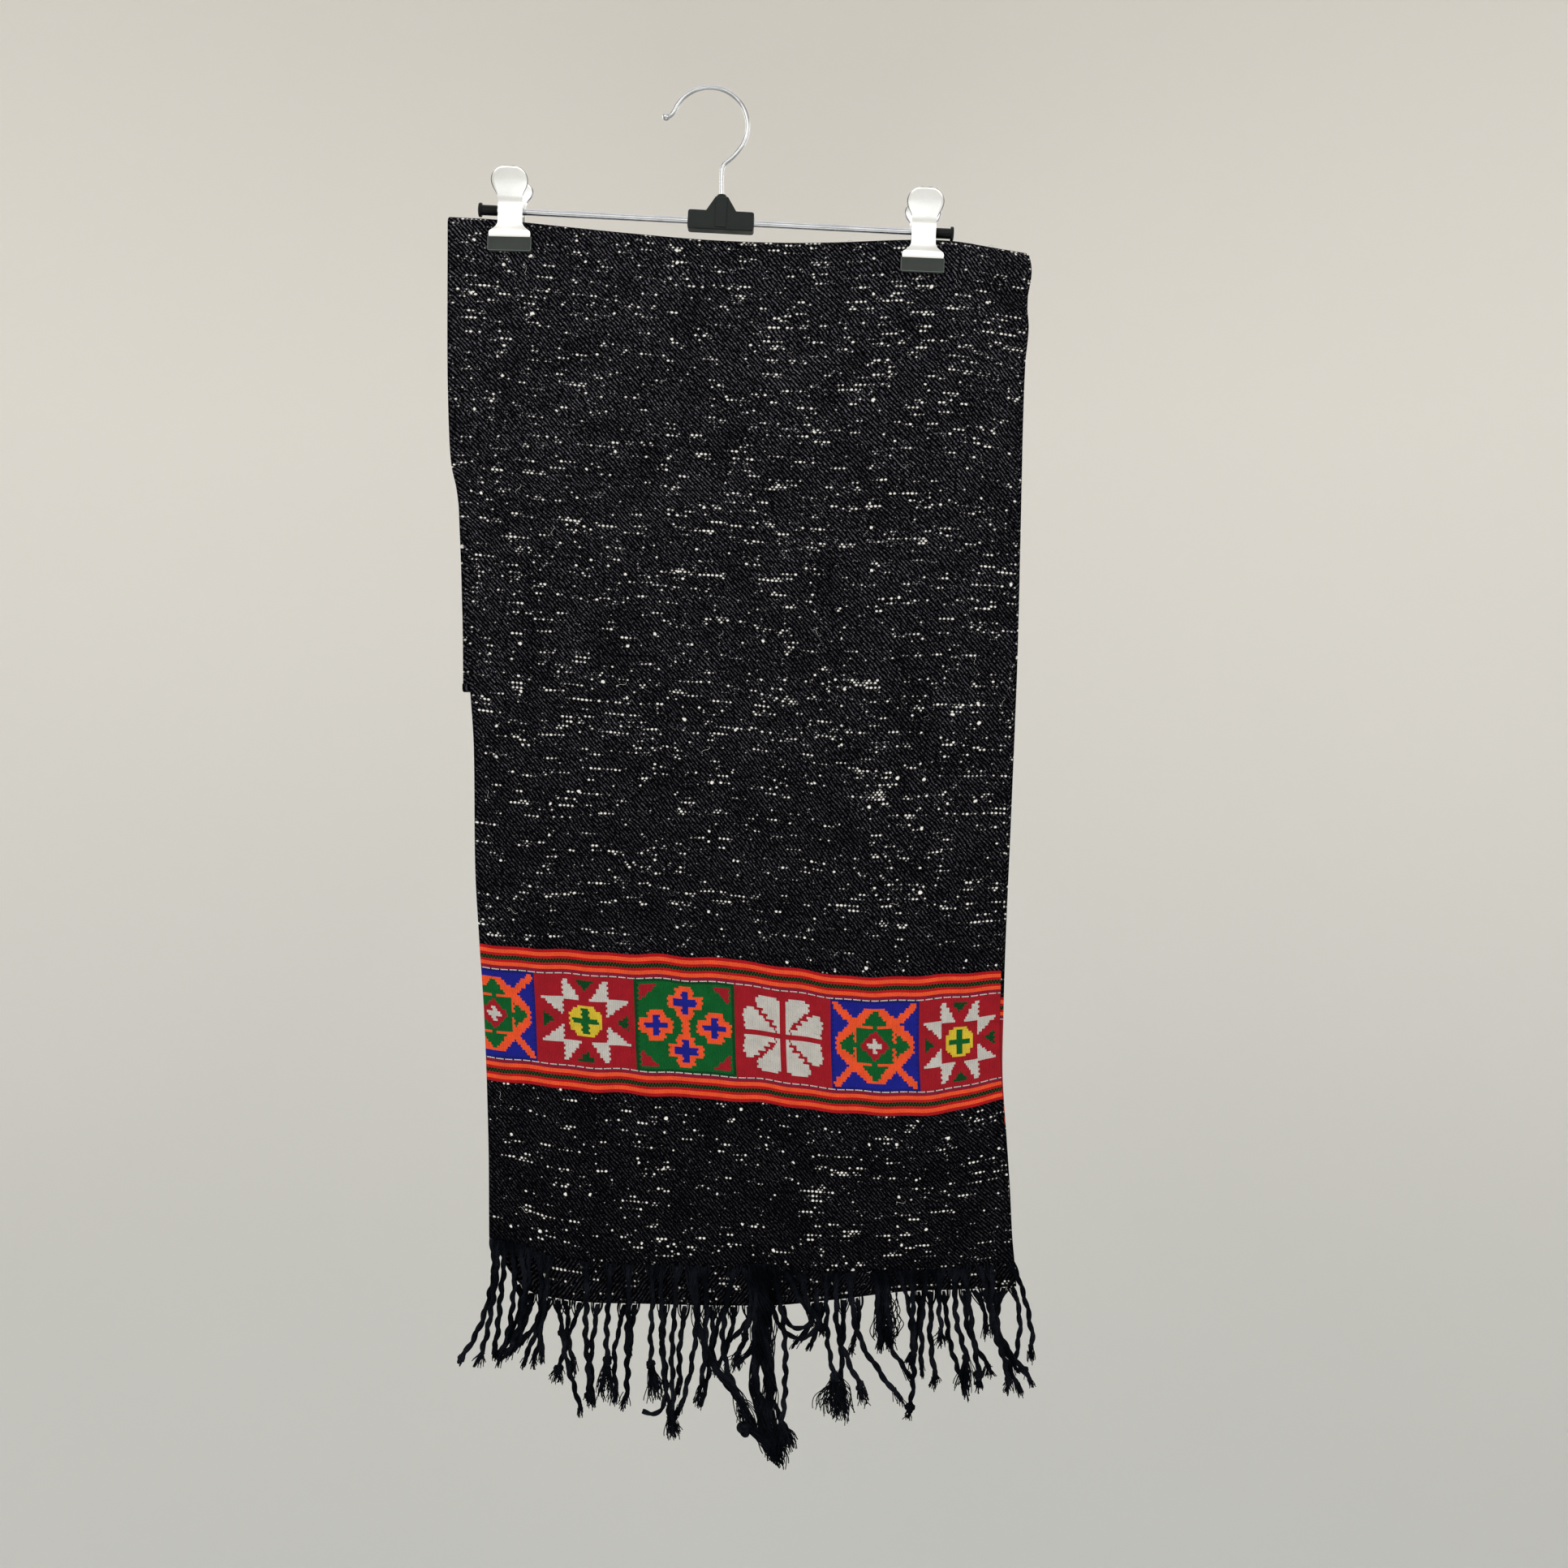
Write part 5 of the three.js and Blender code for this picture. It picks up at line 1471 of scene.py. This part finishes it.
CAP_PROFILE = [
    (0, 0), (0, 4.0), (0.15, 4.4), (0.5, 4.8), (1.9, 4.8), (2.2, 4.6), (2.2, 3.6), (2.5, 3.5),
    (12.3, 3.5), (12.7, 3.2), (12.7, 2.3), (1.1, 2.3), (1.1, 0),
]
for side, end, inward in (("left", -165, 1), ("right", 158.5, -1)):
    cap = turned(side + "_rod_cap", [(end + inward * x, r) for x, r in CAP_PROFILE],
                 black_plastic)
    cap.data.transform(ON_ROD)
    dress(cap, "black_plastic", side + "_end_cap")

HOOK_TIP = (-29.6, 0, -18.6)
HOOK_FOOT = [(15.2, 0, -46.4), (10.2, 0, -50.6), (8.6, 0, -54), (8.2, 0, -58), (8.2, 0, -72),
             (8.2, 0, -83.3)]
hook_arc = []
for degrees in (157, 146, 130, 110, 90, 70, 50, 30, 10, -10, -28, -40):
    angle = math.radians(degrees)
    hook_arc.append((26 * math.cos(angle), 0, -24.5 + 26 * math.sin(angle)))
hook_line = smooth_run([(-32.0, 0, -19.5), HOOK_TIP, (-26.6, 0, -17.6), *hook_arc,
                        *HOOK_FOOT], 0.45)
from_tip = np.linalg.norm(hook_line - np.array(HOOK_TIP), axis=1)
ball = np.sqrt(np.clip(2.6 ** 2 - from_tip ** 2, 0.01, None))
ball[from_tip > 2.4] = 0.01
wire = np.where(np.arange(len(hook_line)) < np.argmin(from_tip), 0.01, 1.5)
hook = swept("bent_hook", [(hook_line, np.maximum(ball, wire))], chrome, ply_radius=MM,
             step=0.00045, sides=28)
dress(hook, "chromed_wire", "hanger_hook")
print("hook wire", round(float(np.linalg.norm(np.diff(hook_line, axis=0), axis=1).sum())), "mm")

# %% [markdown]
# The block is moulded. The CAD solid has its form and bores, so it stays and is dressed. Added
# to it are the details of the mould: a raised column up the neck on both faces, a lip
# along its lower edge, and the collar round the hook's stem. No wording is put on it.

# %% Hanger: block
def rounded_box(name, low, high, material, bevel):
    """A box between two corners in millimetres, with its edges rounded by a bevel."""
    corners = [(x, y, z) for x in (low[0], high[0]) for y in (low[1], high[1])
               for z in (low[2], high[2])]
    faces = [(0, 1, 3, 2), (4, 6, 7, 5), (0, 4, 5, 1), (2, 3, 7, 6), (0, 2, 6, 4), (1, 5, 7, 3)]
    box = new_piece(name, corners, faces, material)
    modify(box, "rounded edges", "BEVEL", width=bevel * MM, segments=3, harden_normals=True)
    return box


frame_block = bpy.data.objects["hanger_block"]
for slot in frame_block.material_slots:
    slot.material = dark_plastic
for side, y in (("front", -5.5), ("back", 5.5)):
    near, far = sorted((y - math.copysign(0.6, y), y + math.copysign(0.8, y)))
    column = rounded_box("block_column_" + side, (-3.9, near, -5.0), (3.9, far, 15.2),
                         dark_plastic, 0.4)
    lip = rounded_box("block_lip_" + side, (-20.6, near, -6.2), (20.6, far, -5.3),
                      dark_plastic, 0.3)
    for detail in (column, lip):
        detail.data.transform(ON_ROD)
        dress(detail, "black_plastic")
COLLAR = [(0, 1.62), (0, 3.1), (0.3, 3.4), (2.0, 3.4), (2.9, 2.5), (2.9, 1.62), (0, 1.62)]
collar = turned("stem_collar", COLLAR, dark_plastic, 36)
collar.data.transform(placed((0.0082, 0, -0.0745), -math.pi / 2))
dress(collar, "black_plastic")

# %% [markdown]
# ## The clips
# Each clip is two levers pressed from sheet 0.9 mm thick, with ears that the rod runs through,
# and a spring wound round the rod between them. Above the rod a lever is a rounded thumb
# plate with a rolled rim. Below, it flares into a jaw as wide as its pad. A table gives its
# height, half width and distance in front of the rod; a smooth line goes through the rows.

# %% Clips: levers, pads and springs
LEVER = [
    (-22.0, 12.6, 8.2), (-19.5, 12.6, 8.3), (-19.3, 13.9, 9.1), (-15.8, 13.6, 9.4),
    (-14, 11.2, 9), (-11.5, 9, 8.4), (-8.5, 8.2, 8), (3, 8.2, 8.2), (7, 8.4, 9.3),
    (10, 9.5, 10.9), (13.5, 11.5, 12.9), (17, 12.4, 14.7), (20.5, 11.6, 16.2),
    (23, 9.6, 17.2), (25, 6.2, 18), (25.6, 3.2, 18.2),
]
lever_half, lever_front = [line_through([(row[0], row[i]) for row in LEVER]) for i in (1, 2)]
lever_heights = np.concatenate([
    [-22, -20.6, -19.5, -19.3], np.linspace(-18.4, 22.4, 46), [23.2, 23.9, 24.5, 25, 25.35, 25.6],
])


def lever(name, ear_place):
    """A lever as a sheet with its two ears, thickened, its edges rounded."""
    u = np.linspace(-1, 1, 21)
    thumb = eased(lever_heights, 8, 14)[:, None]
    half = lever_half(lever_heights)[:, None]
    across = u * half
    rim = eased(np.abs(u) * half, half - 1.1, half) + eased(lever_heights, 24.6, 25.6)[:, None]
    crown = 0.35 * np.cos(u * math.pi / 2)
    y = -lever_front(lever_heights)[:, None] - crown + 0.45 + 0.35 * thumb * np.clip(rim, 0, 1)
    z = lever_heights[:, None] + 0 * across
    points = list(np.stack([across, y, z], axis=2).reshape(-1, 3))
    wide, first_ear = len(u), len(points)
    faces = [(a, a + 1, a + wide + 1, a + wide) for j in range(len(lever_heights) - 1)
             for a in range(j * wide, j * wide + wide - 1)]
    nose = [math.radians(90 - 12 * i) for i in range(16)]
    outline = [(-7.7, 5.8), (-6.0, 5.7), (-4.0, 5.0), (-2, 4.3)]
    outline += [(4 * math.cos(angle), 4 * math.sin(angle)) for angle in nose]
    outline += [(-2.5, -4.3), (-5.0, -4.7), (-7.7, -5), (-7.7, -2), (-7.7, 2)]
    for x in (-ear_place, ear_place):
        first, count = len(points), len(outline)
        for out_y, out_z in outline:
            reach = math.hypot(out_y, out_z)
            points += [(x, out_y, out_z), (x, 2.65 * out_y / reach, 2.65 * out_z / reach)]
        faces += [(first + 2 * i, first + 2 * ((i + 1) % count),
                   first + 2 * ((i + 1) % count) + 1, first + 2 * i + 1) for i in range(count)]
    piece = new_piece(name, points, faces, plated)
    # Painted shade: the thumb plate's outer edges and top rows take the plated steel's grey rim
    # tone, a painted darker reflection along the rolled rim.
    painted_dark_rim = np.zeros(len(points))
    painted_dark_rim[:first_ear] = (np.abs(np.tile(u, len(lever_heights))) > 0.99) & np.repeat(
        lever_heights > 8, wide)
    painted_dark_rim[first_ear - 2 * wide:first_ear] = 1
    piece.data.attributes.new("edge", "FLOAT", "POINT").data.foreach_set("value", painted_dark_rim)
    modify(piece, "sheet", "SOLIDIFY", thickness=0.9 * MM, offset=0)
    modify(piece, "rounded edges", "BEVEL", width=0.22 * MM, segments=2,
           angle_limit=math.radians(50), harden_normals=True)
    return piece


def inset_face(mesh, target, inset, depth):
    """Sets in the face whose middle is nearest to a point, and pushes it inwards."""
    target = Vector(target) * MM
    face = min(mesh.faces, key=lambda f: (f.calc_center_median() - target).length)
    bmesh.ops.inset_region(mesh, faces=[face], thickness=inset * MM, depth=depth * MM)


def pad(name):
    """A jaw's pad: a bare recessed panel in a thin frame, a slot for the lever's lip."""
    box = rounded_box(name, (-14.7, -9.5, -29), (14.7, -5.7, -19.6), grip, 0.35)
    mesh = bmesh.new()
    mesh.from_mesh(box.data)
    foot = [e for e in mesh.edges if all(v.co.z < -28.9 * MM for v in e.verts)
            and abs(e.verts[0].co.x - e.verts[1].co.x) < MM]
    bmesh.ops.bevel(mesh, geom=foot, offset=1.3 * MM, segments=4, profile=0.5, affect="EDGES")
    inset_face(mesh, (0, -9.5, -24.3), 0.9, -0.35)
    # Painted highlight: the frame of the front face is marked to take the grip's lighter rim
    # tone.
    edge = mesh.verts.layers.float.new("edge")
    for vert in mesh.verts:
        vert[edge] = float(vert.co.y < -9.4 * MM)
    for place, across in (((-12.9, 0, 0), (1, 0, 0)), ((12.9, 0, 0), (1, 0, 0)),
                          ((0, -8.8, 0), (0, 1, 0)), ((0, -7.1, 0), (0, 1, 0))):
        everything = mesh.verts[:] + mesh.edges[:] + mesh.faces[:]
        bmesh.ops.bisect_plane(mesh, geom=everything, plane_co=Vector(place) * MM,
                               plane_no=across)
    inset_face(mesh, (0, -7.95, -19.6), 0.01, -2.7)
    mesh.to_mesh(box.data)
    mesh.free()
    box.modifiers["rounded edges"].width = 0.14 * MM
    return box


turns = np.linspace(0, 3, 73)
coil = np.stack([-3.2 + 6.4 * turns / 3, 3 * np.cos(turns * 2 * math.pi + math.pi),
                 3 * np.sin(turns * 2 * math.pi + math.pi)], axis=1)
spring_line = smooth_run([(-3.2, -5.6, 10.5), *coil, (3.2, -5.6, -5)], 0.35)
CLIPS = [("left", -134.6, 1.3), ("right", 145.3, 2.5)]
for side, x, tilt in CLIPS:
    height = BLOCK_AT.z - (x - BLOCK_AT.x) * math.tan(ROD_TILT)
    at_clip = placed((x * MM, 0, height * MM), math.radians(tilt))
    for facing, turn, ear_place in (("front", 0, 7.2), ("back", math.pi, 5.8)):
        place = at_clip @ Matrix.Rotation(turn, 4, "Z")
        plate = lever(f"{side}_{facing}_lever", ear_place)
        plate.data.transform(place)
        dress(plate, "clip_steel", f"{side}_clip_{facing}_lever")
        jaw_pad = pad(f"{side}_{facing}_pad")
        jaw_pad.data.transform(place)
        dress(jaw_pad, "grip_pad", f"{side}_clip_{facing}_pad")
    spring = swept(side + "_spring", [spring_line], spring_wire, ply_radius=0.0005,
                   step=0.0006, sides=8)
    spring.data.transform(at_clip)
    dress(spring, "spring_steel", side + "_clip_spring")
print(len(CLIPS), "clips")

# %% [markdown]
# ## The cuts
# The whole cut is one rectangle, 0.73 m wide and 1.89 m long before its fringe. Each sheet
# here is a stretch of it. The pads of the two clips hold the stack.

# %% Sheets, sizes and the end
run_length = (max(run_lengths) - min(run_lengths)) * MM
[piece for side in fringe_pieces.values() for piece in side]

corners = {"cad": cad_box, "look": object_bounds()}
{name: [list(corner) for corner in box] for name, box in corners.items()}
print("sizes", corners)
